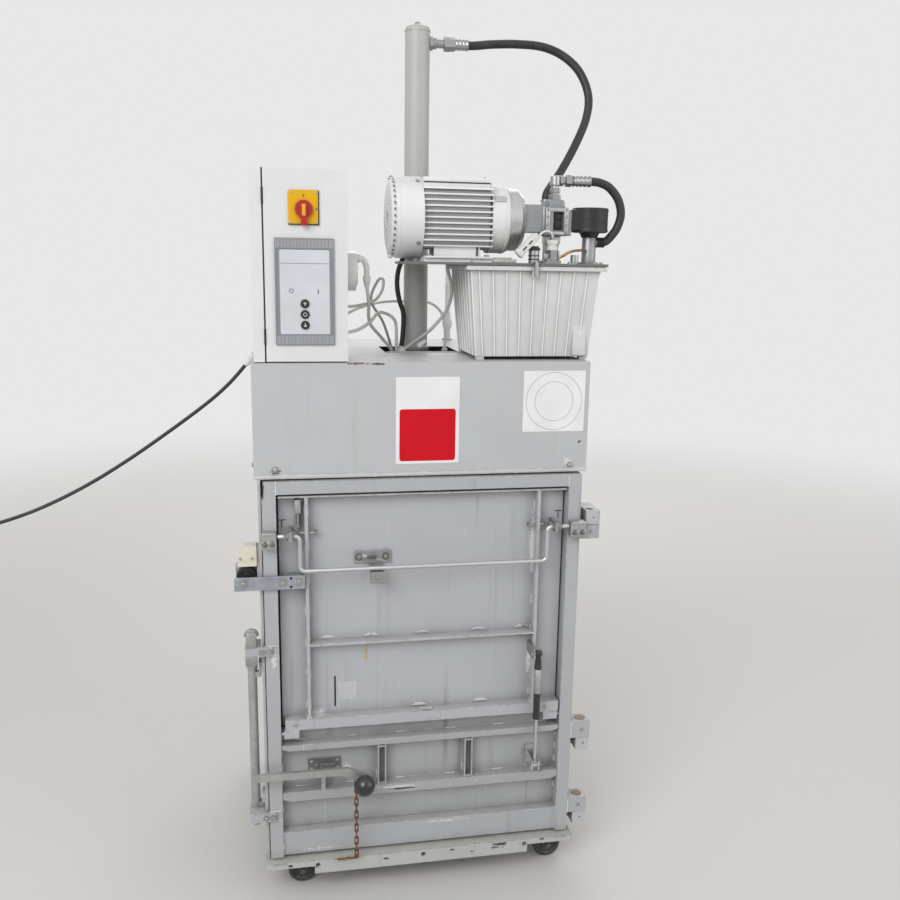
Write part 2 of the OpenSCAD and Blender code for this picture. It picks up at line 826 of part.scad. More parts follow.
// Door: a welded frame of rectangular tubes with a fixed lower panel
module door_frame() in_frame() color(PAINT) {
    y0 = -door_proud;
    y1 = door_back;
    difference() {
        union() {
            box_tube([door_left, y0, door_low - 3], [window_left, y1, door_top], tube_wall, 2);
            box_tube([window_right, y0, door_low - 3], [door_right, y1, door_top], tube_wall, 2);
            box_tube([window_left, y0, window_top], [window_right, y1, door_top], tube_wall, 0);
            box_tube([window_left, bottom_y, door_low], [window_right, y1,
                door_low + bottom_tube_h], tube_wall, 0);
        }
        block([door_left - 1, y0 - 1, door_top - notch_h], [door_left + notch_d, y1 + 1,
            door_top + 1]);
        for (s = [door_left, window_right])
            block([s + tube_wall, y0 + tube_wall, door_low - 4],
                [s + stile_w - tube_wall, y1 - tube_wall, door_low - 1]);
    }
    for (s = [door_left, window_right])
        block([s + tube_wall, y0 + tube_wall, door_top - tube_wall],
            [s + stile_w - tube_wall, y1 - tube_wall, door_top]);
}

// A rib across the lower panel, with its ends cut back at a slant
module door_rib(z, h) {
    translate([0, panel_y, 0])
        rotate([90, 0, 0])
            linear_extrude(panel_y - rib_y)
                polygon([
                    [window_left, z + 6], [window_left + rib_chamfer, z],
                    [window_right - rib_chamfer, z], [window_right, z + 6],
                    [window_right, z + h], [window_left, z + h]
                ]);
}

module lower_panel() in_frame() color(PAINT) {
    block([window_left, panel_y, door_low + bottom_tube_h],
        [window_right, panel_y + panel_t, flap_low - 4]);
    door_rib(low_rib_z, low_rib_h);
    door_rib(high_rib_z, high_rib_h);
    z0 = low_rib_z + low_rib_h;
    for (x = [-109, 102]) {
        block([x, panel_y - channel_t, z0], [x + channel_w, panel_y, high_rib_z]);
        for (edge = [x, x + channel_w - channel_t])
            block([edge, rib_y + 4, z0], [edge + channel_t, panel_y, high_rib_z]);
    }
}

module door_hinge_blocks() in_frame() color(PAINT)
    for (h = hinges)
        difference() {
            union() {
                block([hinge_x - hinge_block / 2, hinge_y - hinge_block / 2, h[0]],
                    [hinge_x + hinge_block / 2, hinge_y + hinge_block / 2, h[0] + h[1]]);
                block([door_right, hinge_y - hinge_block / 2, h[0]],
                    [hinge_x, door_back, h[0] + h[1]]);
            }
            along_z([hinge_x, hinge_y, h[0] - 1], h[1] + 2, hinge_pin_r + pin_fit);
        }

// The flap turns on two pins that are welded to the insides of the door's stiles
module flap_hinge_pins() in_frame() color(STEEL) {
    length = flap_gap + flap_lug_w - 4;
    for (x = [window_left, window_right - length])
        along_x([x, flap_axis_y, flap_axis_z], length, flap_pin_r);
}

// Bearings of the lock tube and the lower bracket of the gas spring
module lock_bearing(z) {
    outer = lock_x + lock_r + bearing_wall;
    difference() {
        union() {
            block([-outer, -bearing_y, z], [door_left + stile_w / 2, -door_proud, z + bearing_h]);
            block([-outer, -bearing_y, z], [-wall_out - 2.5, lock_y + lock_r + bearing_wall,
                z + bearing_h]);
        }
        along_z([-lock_x, lock_y, z - 1], bearing_h + 2, lock_r + pin_fit);
    }
}

module door_brackets() in_frame() color(PAINT) {
    for (z = lock_bearing_zs)
        lock_bearing(z);
    z = spring_low_z;
    gap = eye_w / 2 + spring_pin_gap;
    block([spring_x - gap - ear_t, panel_y - ear_t, z - 24],
        [spring_x + gap + ear_t, panel_y, z + 24]);
    for (x = [spring_x - gap - ear_t, spring_x + gap])
        block([x, spring_axis_y - 9, z - 12], [x + ear_t, panel_y, z + 12]);
    along_x([spring_x - gap - ear_t, spring_axis_y, z], 2 * (gap + ear_t), spring_pin_r);
    block([-243, rib_y + 2, low_rib_z + low_rib_h], [-233, rib_y + 12, lock_arm_z - 14]);
}

// Plates of zinc-plated steel on the door: the grip bar's keepers and a strike plate
module latch_plates() in_frame() color(STEEL) {
    low = grip_z - keeper_h / 2 - 8;
    for (x = [[door_left - 1, window_left - 1], [window_right + 1, door_right + 7]])
        difference() {
            block([x[0], -door_proud - 22, low], [x[1], -door_proud, low + keeper_h]);
            along_x([x[0] - 1, -grip_y, grip_z], x[1] - x[0] + 2, grip_r + 1);
        }
    block([strike_x, panel_y - 3, strike_z], [strike_x + strike_w, panel_y, strike_z + 36]);
    block([strike_x + 28, panel_y - 14, strike_z + 14],
        [strike_x + 58, panel_y - 3, strike_z + 21]);
}

// Feed flap: a sheet with a folded top, stiffened by bars and a lower rail
module flap_panel() in_frame() color(PAINT) {
    block([flap_left, panel_y, flap_low], [flap_right, panel_y + panel_t, flap_top]);
    block([flap_left, flap_front, flap_top - panel_t], [flap_right, panel_y, flap_top]);
}

module flap_bars() in_frame() color(PAINT) {
    rail_top = flap_low + flap_rail_h;
    block([flap_left + 6, flap_front - 2, flap_low], [flap_right, panel_y, rail_top]);
    for (x = [-flap_rib_x, bar_in])
        block([x, flap_front, rail_top], [x + flap_rib_t, panel_y, flap_top - panel_t]);
    block([-bar_in, flap_front, flap_mid_z], [bar_in, panel_y, flap_mid_z + flap_rib_t - 2]);
    for (x = [flap_left + 3, flap_right - flap_lug_w])
        difference() {
            block([x, flap_axis_y - flap_lug_d / 2, flap_axis_z - flap_lug_h / 2],
                [x + flap_lug_w - 3, flap_axis_y + flap_lug_d / 2, flap_low]);
            along_x([x - 1, flap_axis_y, flap_axis_z], flap_lug_w + 2, flap_pin_r + pin_fit);
        }
}

// Fittings on the flap: the grip bar's pivot lugs, its catch and the gas spring's stud
module flap_fittings() in_frame() color(STEEL) {
    lug_x = grip_arm_x + grip_bend + 5;
    for (x = [-lug_x - lug_w, lug_x])
        difference() {
            block([x, -grip_y - 9, grip_z - lug_h / 2], [x + lug_w, panel_y, grip_z + lug_h / 2]);
            along_x([x - 1, -grip_y, grip_z], lug_w + 2, grip_r + pin_fit);
        }
    grip_low = grip_z - grip_drop;
    right = catch_x + catch_w;
    block([catch_x - 33, panel_y - 3, grip_low],
        [catch_x - 33 + catch_plate_w, panel_y, grip_low + catch_plate_h]);
    block([catch_x, -grip_y + grip_r + 3, grip_low - 8], [right, panel_y - 3, grip_low]);
    block([catch_x, -grip_y - grip_r - 4, grip_low - grip_r - catch_w],
        [right, -grip_y + grip_r + 3, grip_low - grip_r - 2]);
    block([catch_x, -grip_y + grip_r + 1, grip_low - grip_r - catch_w],
        [right, -grip_y + grip_r + 4, grip_low]);
    ear_x = spring_x - eye_w / 2 - spring_pin_gap - 8;
    block([ear_x, spring_axis_y - 7, spring_high_z - 14],
        [ear_x + ear_t, panel_y, spring_high_z + 14]);
    along_x([ear_x, spring_axis_y, spring_high_z], spring_x - eye_w / 2 - spring_pin_gap - ear_x,
        spring_pin_r);
}

// Flat bar that works the safety switch, with its spacer on the flap
module safety_bar() in_frame() color(STEEL) {
    low = safety_z - safety_h / 2;
    right = -flap_rib_x - 1;
    left = right - safety_l;
    block([left, safety_y, low], [right, safety_y + safety_t, low + safety_h]);
    block([right - safety_spacer, safety_y + safety_t, low + 4],
        [right - 8, panel_y, low + safety_h - 4]);
    for (x = [right - safety_spacer + 1, right - 20])
        along_y([x, safety_y - 4, safety_z - 1], 4, 6);
    along_y([left + 14, safety_y - 3, safety_z - 7], 3, 4);
}

// Grip bar: a round bar bent into a U with both ends turned out
module grip_bar() in_frame() color(STEEL) {
    y = -grip_y;
    low = grip_z - grip_drop;
    b = grip_bend;
    left_end = window_left + grip_end_gap;
    right_end = window_right - grip_end_gap;
    for (s = [-1, 1]) {
        end = s < 0 ? left_end : right_end;
        along_x([min(end, s * (grip_arm_x + b)), y, grip_z], abs(end - s * (grip_arm_x + b)),
            grip_r);
        along_z([s * grip_arm_x, y, low + b], grip_drop - 2 * b, grip_r);
        translate([s * (grip_arm_x + b), y, grip_z - b])
            rotate([90, s < 0 ? 0 : -90, 0])
                rotate_extrude(angle = 90)
                    translate([b, 0])
                        circle(grip_r);
        translate([s * (grip_arm_x - b), y, low + b])
            rotate([90, s < 0 ? 180 : 90, 0])
                rotate_extrude(angle = 90)
                    translate([b, 0])
                        circle(grip_r);
    }
    along_x([-grip_arm_x + b, y, low], 2 * (grip_arm_x - b), grip_r);
}

// Gas spring: the rod turns on the door's bracket and the cylinder slides along it
module gas_spring_rod() in_frame() color(STEEL) {
    difference() {
        along_x([spring_x - eye_w / 2, spring_axis_y, spring_low_z], eye_w, eye_r);
        along_x([spring_x - eye_w, spring_axis_y, spring_low_z], 2 * eye_w,
            spring_pin_r + pin_fit);
    }
    along_z([spring_x, spring_axis_y, spring_low_z + eye_r - 1],
        spring_body_low + 24 - spring_low_z - eye_r, spring_rod_r);
}

module gas_spring_cylinder() in_frame() color(BLACK) {
    top = spring_high_z - eye_r;
    difference() {
        union() {
            along_z([spring_x, spring_axis_y, spring_body_low], top - spring_body_low - 12,
                spring_r);
            along_z([spring_x, spring_axis_y, top - 14], 16, spring_r - 2);
        }
        along_z([spring_x, spring_axis_y, spring_body_low - 1], spring_travel + 28,
            spring_rod_r + pin_fit);
        along_x([spring_x - eye_w, spring_axis_y, spring_high_z], 2 * eye_w, spring_pin_r + 1);
    }
    difference() {
        along_x([spring_x - eye_w / 2, spring_axis_y, spring_high_z], eye_w, eye_r);
        along_x([spring_x - eye_w, spring_axis_y, spring_high_z], 2 * eye_w, spring_pin_r + 1);
    }
}

// Lock lever: an upright tube with an arm and cams, turning in the door's two bearings
module lock_lever() in_frame() color(STEEL) {
    x = -lock_x;
    arm_right = x + lock_arm_l;
    z0 = lock_arm_z - arm_h / 2;
    along_z([x, lock_y, lock_low_z], lock_high_z - lock_low_z, lock_r);
    along_z([x, lock_y, lock_high_z - 66], 24, lock_r + 2);
    block([x - 7, lock_y - 6, lock_high_z], [x + 7, lock_y + 6, lock_high_z + 10]);
    translate([x, lock_y + 4, lock_high_z + 10])
        rotate([90, 0, 0])
            linear_extrude(8)
                difference() {
                    circle(lock_top_link);
                    translate([-lock_top_link - 1, -2 * lock_top_link - 2])
                        square(2 * lock_top_link + 2);
                }
    for (z = lock_keeper_zs)
        block([x, lock_y - 8, z - cam_gap - cam_t],
            [-wall_out - 2.5, lock_y + 8, z - cam_gap]);
    block([x - 6, arm_y, z0], [x + 6, lock_y, z0 + arm_h]);
    block([x - 6, arm_y - arm_t / 2, z0], [arm_right, arm_y + arm_t / 2, z0 + arm_h]);
    translate([arm_right, arm_y + arm_t / 2, lock_arm_z])
        rotate([90, 0, 0])
            linear_extrude(arm_t)
                polygon([
                    [-1, arm_h / 2], [12, arm_h / 2], [knob_dx + 10, -knob_drop + 8],
                    [knob_dx + 10, -knob_drop - 10], [knob_dx - 12, -knob_drop - 10],
                    [-1, -arm_h / 2]
                ]);
    along_y([arm_right + knob_dx, knob_y + 6, lock_arm_z - knob_drop], arm_y - knob_y - 6,
        stud_r);
    lug_y = arm_y + arm_t / 2 + 1;
    block([chain_x - 4, lug_y, chain_z - 4], [chain_x + 4, lug_y + 3, chain_z + 20]);
    block([chain_x - 4, arm_y, chain_z + 12], [chain_x + 4, lug_y + 3, chain_z + 20]);
    along_y([chain_x, arm_y - 5, chain_z], lug_y - arm_y + 6, chain_pin_r);
}

module lock_knob() in_frame() color(BLACK)
    translate([-lock_x + lock_arm_l + knob_dx, knob_y, lock_arm_z - knob_drop])
        rotate([90, 0, 0])
            difference() {
                sphere(knob_r, $fn = 64);
                translate([0, 0, -knob_r - 1])
                    cylinder(h = knob_r + 1 - 5, r = stud_r + pin_fit);
            }

// One chain link, standing upright, with its flat side turned about the chain
module chain_link(z, turn) {
    translate([0, 0, z])
        rotate([90, 0, turn]) {
            for (s = [0, 1])
                rotate([0, 0, 180 * s])
                    translate([0, link_reach, 0])
                        rotate_extrude(angle = 180)
                            translate([link_ring, 0])
                                circle(chain_wire_r, $fn = 16);
            for (x = [-link_ring, link_ring])
                translate([x, -link_reach, 0])
                    rotate([-90, 0, 0])
                        cylinder(h = 2 * link_reach, r = chain_wire_r, $fn = 16);
        }
}

module lock_chain() in_frame() color("#8a5a44")
    translate([chain_x, arm_y, chain_z]) {
        for (i = [0:chain_links - 1])
            chain_link(-link_reach - chain_pitch * i, i % 2 == 0 ? 0 : 90);
        along_x([-46, 0, -chain_pitch * chain_links - 1], 50, 2.5);
    }

// Safety switch on the body's left side
module switch_cover() in_frame() color(WHITE)
    translate([-switch_x, switch_mid_y + roller_w / 2 + 8, cover_z])
        rotate([90, 0, 0])
            linear_extrude(36) {
                polygon([[-19, 0], [24, 0], [24, 34], [-12, 34]]);
                translate([1, 34])
                    circle(13);
                translate([1, 34])
                    square([23, 13]);
            }

module switch_roller() in_frame() color(BLACK)
    translate([-switch_x, switch_mid_y + roller_w / 2, roller_z])
        rotate([90, 0, 0])
            difference() {
                cylinder(h = roller_w, r = roller_r);
                translate([0, 0, -1])
                    cylinder(h = roller_w + 2, r = axle_r + pin_fit);
            }

// Control cabinet with a hinged front
module cabinet_body() in_frame() color(WHITE) {
    top = cabinet_z + cabinet_h;
    rim = door_front + cabinet_door_t + 1.5;
    strip_right = cabinet_left + strip_w;
    difference() {
        block([cabinet_left, rim, cabinet_z], [cabinet_right, cabinet_d, top]);
        block([cabinet_left + sheet_t, rim - 1, cabinet_z + sheet_t],
            [cabinet_right - sheet_t, cabinet_d - sheet_t, top - sheet_t]);
    }
    box_tube([cabinet_left, door_front, cabinet_z], [strip_right, rim, top], sheet_t, 1);
    block([cabinet_left, door_front, cabinet_z], [strip_right, door_front + sheet_t, top]);
    block([cabinet_left + 10, 40, housing_top], [cabinet_right - 10, 60, cabinet_z]);
    for (z = [cabinet_z + 40, top - 70])
        along_z([strip_right + groove_w / 2, door_front, z], 30, cabinet_hinge_r);
}

module cabinet_door() in_frame() color(WHITE) {
    low = cabinet_z + 1;
    top = cabinet_z + cabinet_h - 1;
    left = cabinet_door_left + seat;
    difference() {
        block([left, door_front, low], [cabinet_right, door_front + cabinet_door_t, top]);
        block([left + sheet_t, door_front + sheet_t, low + sheet_t],
            [cabinet_right - sheet_t, door_front + cabinet_door_t + 1, top - sheet_t]);
        along_y([panel_mid, door_front - 1, knob_z], sheet_t + 2, 7 + pin_fit);
        for (i = [0:2])
            along_y([panel_mid, door_front - 1, button_z - i * button_pitch], sheet_t + 2,
                button_r - 2);
    }
}

module main_switch_plate() in_frame() color("#d9b21f")
    translate([panel_mid, door_front, switch_z])
        rotate([90, 0, 0])
            linear_extrude(switch_bezel_t)
                difference() {
                    rounded(switch_w, switch_h, 5);
                    translate([0, knob_z - switch_z])
                        circle(7 + pin_fit);
                }

module main_switch_knob() in_frame() color("#c8321e")
    translate([panel_mid, door_front - switch_bezel_t - seat, knob_z])
        rotate([90, 0, 0]) {
            translate([0, 0, -12])
                cylinder(h = 13, r = 7);
            cylinder(h = 7, r = switch_knob_r);
            linear_extrude(14)
                translate([0, -switch_knob_r + 6])
                    rounded(12, 44, 4);
        }

module keypad() in_frame() color("#5b5f66")
    translate([panel_mid, door_front, keypad_z + keypad_h / 2])
        rotate([90, 0, 0])
            difference() {
                linear_extrude(keypad_t)
                    rounded(keypad_w, keypad_h, 3);
                translate([-keypad_w / 2 + 10, -keypad_h / 2 + 22, keypad_t - 1])
                    cube([keypad_w - 20, keypad_h - 45, 2]);
                for (i = [0:2])
                    translate([0, button_z - i * button_pitch - keypad_z - keypad_h / 2, -1])
                        cylinder(h = keypad_t + 2, r = button_r + button_fit);
            }

module push_button(i) in_frame() color(BLACK)
    translate([panel_mid, door_front - keypad_t - button_proud + 1, button_z - i * button_pitch])
        rotate([-90, 0, 0]) {
            cylinder(h = button_proud + keypad_t - 1 - seat - button_travel, r = button_r);
            cylinder(h = button_proud + keypad_t + sheet_t + 4, r = button_r - 2 - button_fit);
        }

// Round socket on the cabinet's side, and the gland of the power cable
module cable_entries() in_frame() color(WHITE) {
    difference() {
        along_x([cabinet_right, socket_y, socket_z], socket_t, socket_r);
        along_x([cabinet_right + 4, socket_y, socket_z], socket_t, socket_r - 5);
    }
    along_x([cabinet_right + 4, socket_y + 10, socket_z + 29], socket_t - 2, cable_r + 5);
    block([-housing_out - 8, power_exit.y - 14, power_exit.z + 6],
        [-housing_out, power_exit.y + 14, power_exit.z + 34]);
    translate(power_exit)
        rotate([0, 90 - atan2(-power_dir.z, -power_dir.x), 0])
            cylinder(h = 20, r1 = power_r + 1, r2 = power_r + 5);
}

// Oil tank: a ribbed, tapered plastic shell with a rim, closed by a steel lid
function rib_wave(from, to, n) =
    [for (i = [0:n - 1]) let (step = (to - from) / n, a = from + i * step)
        each [[a + step * 0.44, 0], [a + step * 0.47, 3], [a + step * 0.53, 3],
            [a + step * 0.56, 0]]];

module tank_outline() {
    w = tank_w / 2;
    d = tank_d / 2;
    front = [for (p = rib_wave(-w + 6, w - 18, 9)) [p.x, -d + 3 - p.y]];
    right = [for (p = rib_wave(-d + 8, d - 8, 7)) [w - 3 + p.y, p.x]];
    back = [for (p = rib_wave(-w + 18, w - 6, 9)) [-p.x, d - 3 + p.y]];
    left = [for (p = rib_wave(-d + 8, d - 8, 7)) [-w + 3 - p.y, -p.x]];
    polygon(concat([[-w + 3, -d + 3]], front, [[w - 3, -d + 3]], right, [[w - 3, d - 3]], back,
        [[-w + 3, d - 3]], left));
}

module oil_tank() in_frame() color(WHITE) {
    translate([tank_x, tank_y, tank_low])
        difference() {
            union() {
                linear_extrude(tank_h, scale = 1 / tank_taper)
                    scale(tank_taper)
                        tank_outline();
                translate([-tank_w / 2 - rim_out, -tank_d / 2 - rim_out, tank_h])
                    cube([tank_w + 2 * rim_out, tank_d + 2 * rim_out, rim_t]);
                for (x = [-1, 1], y = [-1, 1])
                    translate([x * (tank_w / 2 - 32) - 9, y * (tank_d / 2 - 26) - 9,
                            housing_top - tank_low])
                        cube([18, 18, tank_low - housing_top + 1]);
            }
            translate([0, 0, tank_wall])
                linear_extrude(tank_h + rim_t, scale = 1 / tank_taper)
                    square([tank_w * tank_taper - 18, tank_d * tank_taper - 18],
                        center = true);
        }
}

module tank_lid() in_frame() color(STEEL) {
    front = tank_y - tank_d / 2 - rim_out - 2;
    back = tank_y + tank_d / 2 + rim_out + 2;
    block([lid_left, front, lid_low], [lid_right, back, lid_top]);
    block([tank_x - tank_w / 2 + 12, front + 20, tank_top + rim_t],
        [tank_x + tank_w / 2 - 12, back - 20, lid_low]);
}

// Electric motor along X, with fins, a terminal box, feet and an end shield
module motor_body() in_frame() color(WHITE) {
    difference() {
        union() {
            translate([motor_left, tank_y, axis_z])
                rotate([90, 0, 90])
                    linear_extrude(motor_right - motor_left) {
                        circle(shell_r);
                        intersection() {
                            for (i = [-5:5])
                                translate([-motor_r, i * fin_pitch - fin_t / 2])
                                    square([2 * motor_r, fin_t]);
                            rounded(2 * motor_r, 2 * motor_r, 22);
                        }
                    }
            translate([motor_right, tank_y, axis_z])
                rotate([0, 90, 0])
                    cylinder(h = shield_right - motor_right, r = motor_r);
            along_x([motor_left - cowl_seat, tank_y, axis_z], cowl_seat,
                cowl_r - sheet_t - seat);
            block([motor_left + seat, tank_y - 62, axis_z + 52],
                [motor_right - 6, tank_y + 62, axis_z + 86]);
        }
        along_x([motor_left - 10, tank_y, axis_z], motor_right - motor_left, shell_bore);
        along_x([motor_left, tank_y, axis_z], shield_right, shaft_r + pin_fit);
    }
    block([38, tank_y - 66, lid_top], [130, tank_y + 66, axis_z - shell_bore - 6]);
    block([motor_left + 1, tank_y - 84, lid_top], [159, tank_y + 84, lid_top + 9]);
}

module fan_cowl() in_frame() color(WHITE)
    translate([cowl_left, tank_y, axis_z])
        rotate([0, 90, 0])
            difference() {
                rotate_extrude()
                    polygon([
                        [shaft_r + 2, 0], [cowl_r - 18, 0], [cowl_r - 10, 2], [cowl_r - 2, 14],
                        [cowl_r, 24], [cowl_r, motor_left - cowl_left],
                        [cowl_r - sheet_t, motor_left - cowl_left], [cowl_r - sheet_t, 24],
                        [cowl_r - 4, 15], [cowl_r - 11, 4], [cowl_r - 18, 2.5], [shaft_r + 2, 2.5]
                    ]);
                for (ring = [0:2], i = [0:11 + 6 * ring])
                    rotate([0, 0, 360 * i / (12 + 6 * ring)])
                        translate([26 + 16 * ring, -2.5, -1])
                            cube([11, 5, 5]);
            }

module motor_rotor() in_frame() color(STEEL)
    translate([0, tank_y, axis_z])
        rotate([0, 90, 0]) {
            translate([0, 0, cowl_left + 6])
                cylinder(h = shield_right + 20 - cowl_left - 6, r = shaft_r);
            translate([0, 0, motor_left + 12])
                cylinder(h = motor_right - motor_left - 26, r = shell_bore - 4);
            translate([0, 0, cowl_left + 28]) {
                cylinder(h = 30, r = shaft_r + 14);
                for (i = [0:5])
                    rotate([0, 0, 60 * i])
                        translate([shaft_r + 8, -1.5, 2])
                            cube([46, 3, 26]);
            }
        }

module drive_flange() in_frame() color(STEEL)
    translate([shield_right, tank_y, axis_z])
        rotate([0, 90, 0])
            rotate_extrude()
                polygon([
                    [shaft_r + 10, 0], [flange_r + 3, 0], [flange_r + 3, 6], [flange_r, 6],
                    [flange_r, flange_right - shield_right - 12],
                    [flange_r - 12, flange_right - shield_right],
                    [0, flange_right - shield_right],
                    [0, flange_right - shield_right - 8], [shaft_r + 10, 30]
                ]);

module pump_block() in_frame() color(STEEL) {
    y = 130;
    block([flange_right, y - 28, axis_z - 28], [valve_left, y + 28, axis_z + 34]);
    difference() {
        union() {
            block([valve_left, y - 34, axis_z - 34], [valve_right - 16, y + 34, axis_z + 30]);
            block([valve_right - 16, y - 28, axis_z - 34], [valve_right, y + 28, axis_z + 22]);
            block([valve_left + 8, y - 30, axis_z + 30], [valve_right - 22, y + 30, axis_z + 46]);
            block([valve_left + 7, y - 12, lid_top], [valve_left + 31, y + 12, axis_z - 34]);
        }
        block([valve_left + 18, y - 40, axis_z - 24], [valve_left + 42, y - 24, axis_z + 20]);
    }
}

module return_filter() in_frame() color(BLACK) {
    block([valve_right, filter_y - 30, axis_z - 20], [filter_x, filter_y + 30, axis_z + 24]);
    along_z([filter_x, filter_y, axis_z - 24], 54, filter_r);
    along_z([filter_x, filter_y, axis_z - filter_neck], filter_neck - 24, 19);
}

// Steel fittings of the hoses, and the small valves on the lid
module steel_fittings() in_frame() color(STEEL) {
    port = [cylinder_x, cylinder_y, pressure_route[0].z];
    difference() {
        along_x(port + [cylinder_r - 3, 0, 0], 42, 10);
        along_z([cylinder_x, cylinder_y, port.z - 20], 40, cylinder_r);
    }
    translate(port + [cylinder_r + 38, 0, 0])
        rotate([0, 90, 0])
            cylinder(h = 22, r = 16, $fn = 6);
    along_x(port + [cylinder_r + 60, 0, 0],
        pressure_route[0].x - seat - cylinder_x - cylinder_r - 60, 12);
    elbow = [319, filter_y, return_route[0].z];
    along_z([elbow.x, elbow.y, axis_z + 46], elbow.z - axis_z - 46 + 9, 9);
    along_x(elbow, return_route[0].x - elbow.x - 40, 8);
    along_x([return_route[0].x - 44, filter_y, elbow.z], 44 - seat, 10);
    end = return_route[len(return_route) - 1];
    along_x([filter_x, filter_y, end.z], end.x - 3 * seat - filter_x, 9);
    along_z([filter_x, filter_y, lid_top], axis_z - filter_neck - lid_top, 16);
    top = pressure_route[len(pressure_route) - 1];
    along_z([top.x, top.y, axis_z + 2], top.z - 4 * seat - axis_z - 2, 11);
    block([top.x - 11, filter_y + 34, axis_z - 6], [top.x + 11, top.y + 11, axis_z + 12]);
    block([284, 54, lid_top], [316, 86, lid_top + 5]);
    translate([300, 70, lid_top + 5])
        cylinder(h = 24, r = 14, $fn = 6);
    along_z([300, 70, lid_top + 29], 20, 10);
    along_z([352, 66, lid_top], 20, 9);
    along_z([256, 68, lid_top], 28, 12);
    along_z([248, tank_y - tank_d / 2 - rim_out - 9, lid_top - 30], 32, 5);
    block([243, tank_y - tank_d / 2 - rim_out - 9, lid_top], [253, tank_y - tank_d / 2 + 4,
        lid_top + 2]);
}

module hoses() in_frame() color(BLACK) {
    swept(pressure_route, hose_r, 12, 3);
    swept(return_route, hose_r, 12, 3);
}

module control_cables() in_frame() color("#b9bcbb") {
    for (route = cable_routes)
        swept(route, cable_r, 8, 2);
    swept(motor_cable_route, motor_cable_r, 8, 2);
}

module power_cable() in_frame() color(BLACK)
    swept(power_route, power_r, 8, 2);

module power_plug() in_frame() color(BLACK) {
    end = power_route[len(power_route) - 1];
    d = unit(plug_dir);
    slope = atan2(-d.z, -d.x);
    translate(end)
        rotate([0, -90 - slope, 0]) {
            cylinder(h = 30, r1 = power_r + 2, r2 = power_r + 7);
            translate([0, 0, 30])
                cylinder(h = 45, r = 24);
            for (a = [90, 210, 330])
                rotate([0, 0, a])
                    translate([12, 0, 75])
                        cylinder(h = 18, r = 2.5);
        }
}

base_frame();
castor_fork(-1, false);  // castor_fork_front_left
castor_fork(1, false);  // castor_fork_front_right
castor_fork(-1, true);  // castor_fork_rear_left
castor_fork(1, true);  // castor_fork_rear_right
castor_wheel(-1, false);  // castor_wheel_front_left
castor_wheel(1, false);  // castor_wheel_front_right
castor_wheel(-1, true);  // castor_wheel_rear_left
castor_wheel(1, true);  // castor_wheel_rear_right
chamber_floor();
side_wall(-1);  // left_wall
side_wall(1);  // right_wall
back_wall();
body_brackets();
hinge_pins();
housing_cover();
cross_beam();
cylinder_body();  // cylinder
piston_rod();
press_platen();
door_frame();
lower_panel();
door_hinge_blocks();
flap_hinge_pins();
door_brackets();
latch_plates();
flap_panel();
flap_bars();
flap_fittings();
safety_bar();
grip_bar();
gas_spring_rod();
gas_spring_cylinder();
lock_lever();
lock_knob();
lock_chain();
switch_cover();
switch_roller();
cabinet_body();
cabinet_door();
main_switch_plate();
main_switch_knob();
keypad();
push_button(0);  // button_up
push_button(1);  // button_stop
push_button(2);  // button_down
cable_entries();
oil_tank();
tank_lid();
motor_body();
fan_cowl();
motor_rotor();
drive_flange();
pump_block();
return_filter();
steel_fittings();
hoses();
control_cables();
power_cable();
power_plug();
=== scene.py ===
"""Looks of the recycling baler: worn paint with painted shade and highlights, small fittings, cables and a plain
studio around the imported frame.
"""

import math

import bmesh
import bpy
from mathutils import Matrix, Vector


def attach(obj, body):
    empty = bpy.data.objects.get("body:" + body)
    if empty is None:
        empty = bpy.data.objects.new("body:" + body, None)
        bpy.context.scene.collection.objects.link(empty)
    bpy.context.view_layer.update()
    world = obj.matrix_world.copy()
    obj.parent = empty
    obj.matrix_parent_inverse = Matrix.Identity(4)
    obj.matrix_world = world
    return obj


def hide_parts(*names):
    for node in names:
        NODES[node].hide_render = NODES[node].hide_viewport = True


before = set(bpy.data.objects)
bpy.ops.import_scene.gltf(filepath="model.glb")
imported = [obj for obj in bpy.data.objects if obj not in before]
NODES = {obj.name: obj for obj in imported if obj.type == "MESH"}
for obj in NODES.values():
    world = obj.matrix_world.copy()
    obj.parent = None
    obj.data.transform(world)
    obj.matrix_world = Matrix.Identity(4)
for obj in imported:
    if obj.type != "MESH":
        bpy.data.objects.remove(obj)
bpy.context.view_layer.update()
MM = 0.001
RIGHT, LEFT, BACK, FRONT, UP, DOWN = (1, 0, 0), (-1, 0, 0), (0, 1, 0), (0, -1, 0), (0, 0, 1), (0, 0, -1)

# Place of the housing front's middle in the frame, as part.scad has it, in millimetres
HOUSING_X = -33
HOUSING_Y = -272
# The cylinder's axis, and the height of its port for the pressure hose
MAST_X, MAST_Y = 21, 316
HOSE_PORT_Z = 2007


def at(x, y, z):
    """A point given in millimetres from the housing front's middle, as a place in the frame."""
    return Vector(((x + HOUSING_X) * MM, (y + HOUSING_Y) * MM, z * MM))


# ---------------------------------------------------------------- camera
IMAGE_SIZE = 900
FOCAL_PIXELS = 909
SENSOR_WIDTH = 36
VIEW_REACH = 50
CAMERA_PLACE = at(-317.0, -1980.2, 1489.0)
CAMERA_YAW = math.radians(-10.665)
CAMERA_PITCH = math.radians(-11.519)
CAMERA_ROLL = math.radians(0.904)


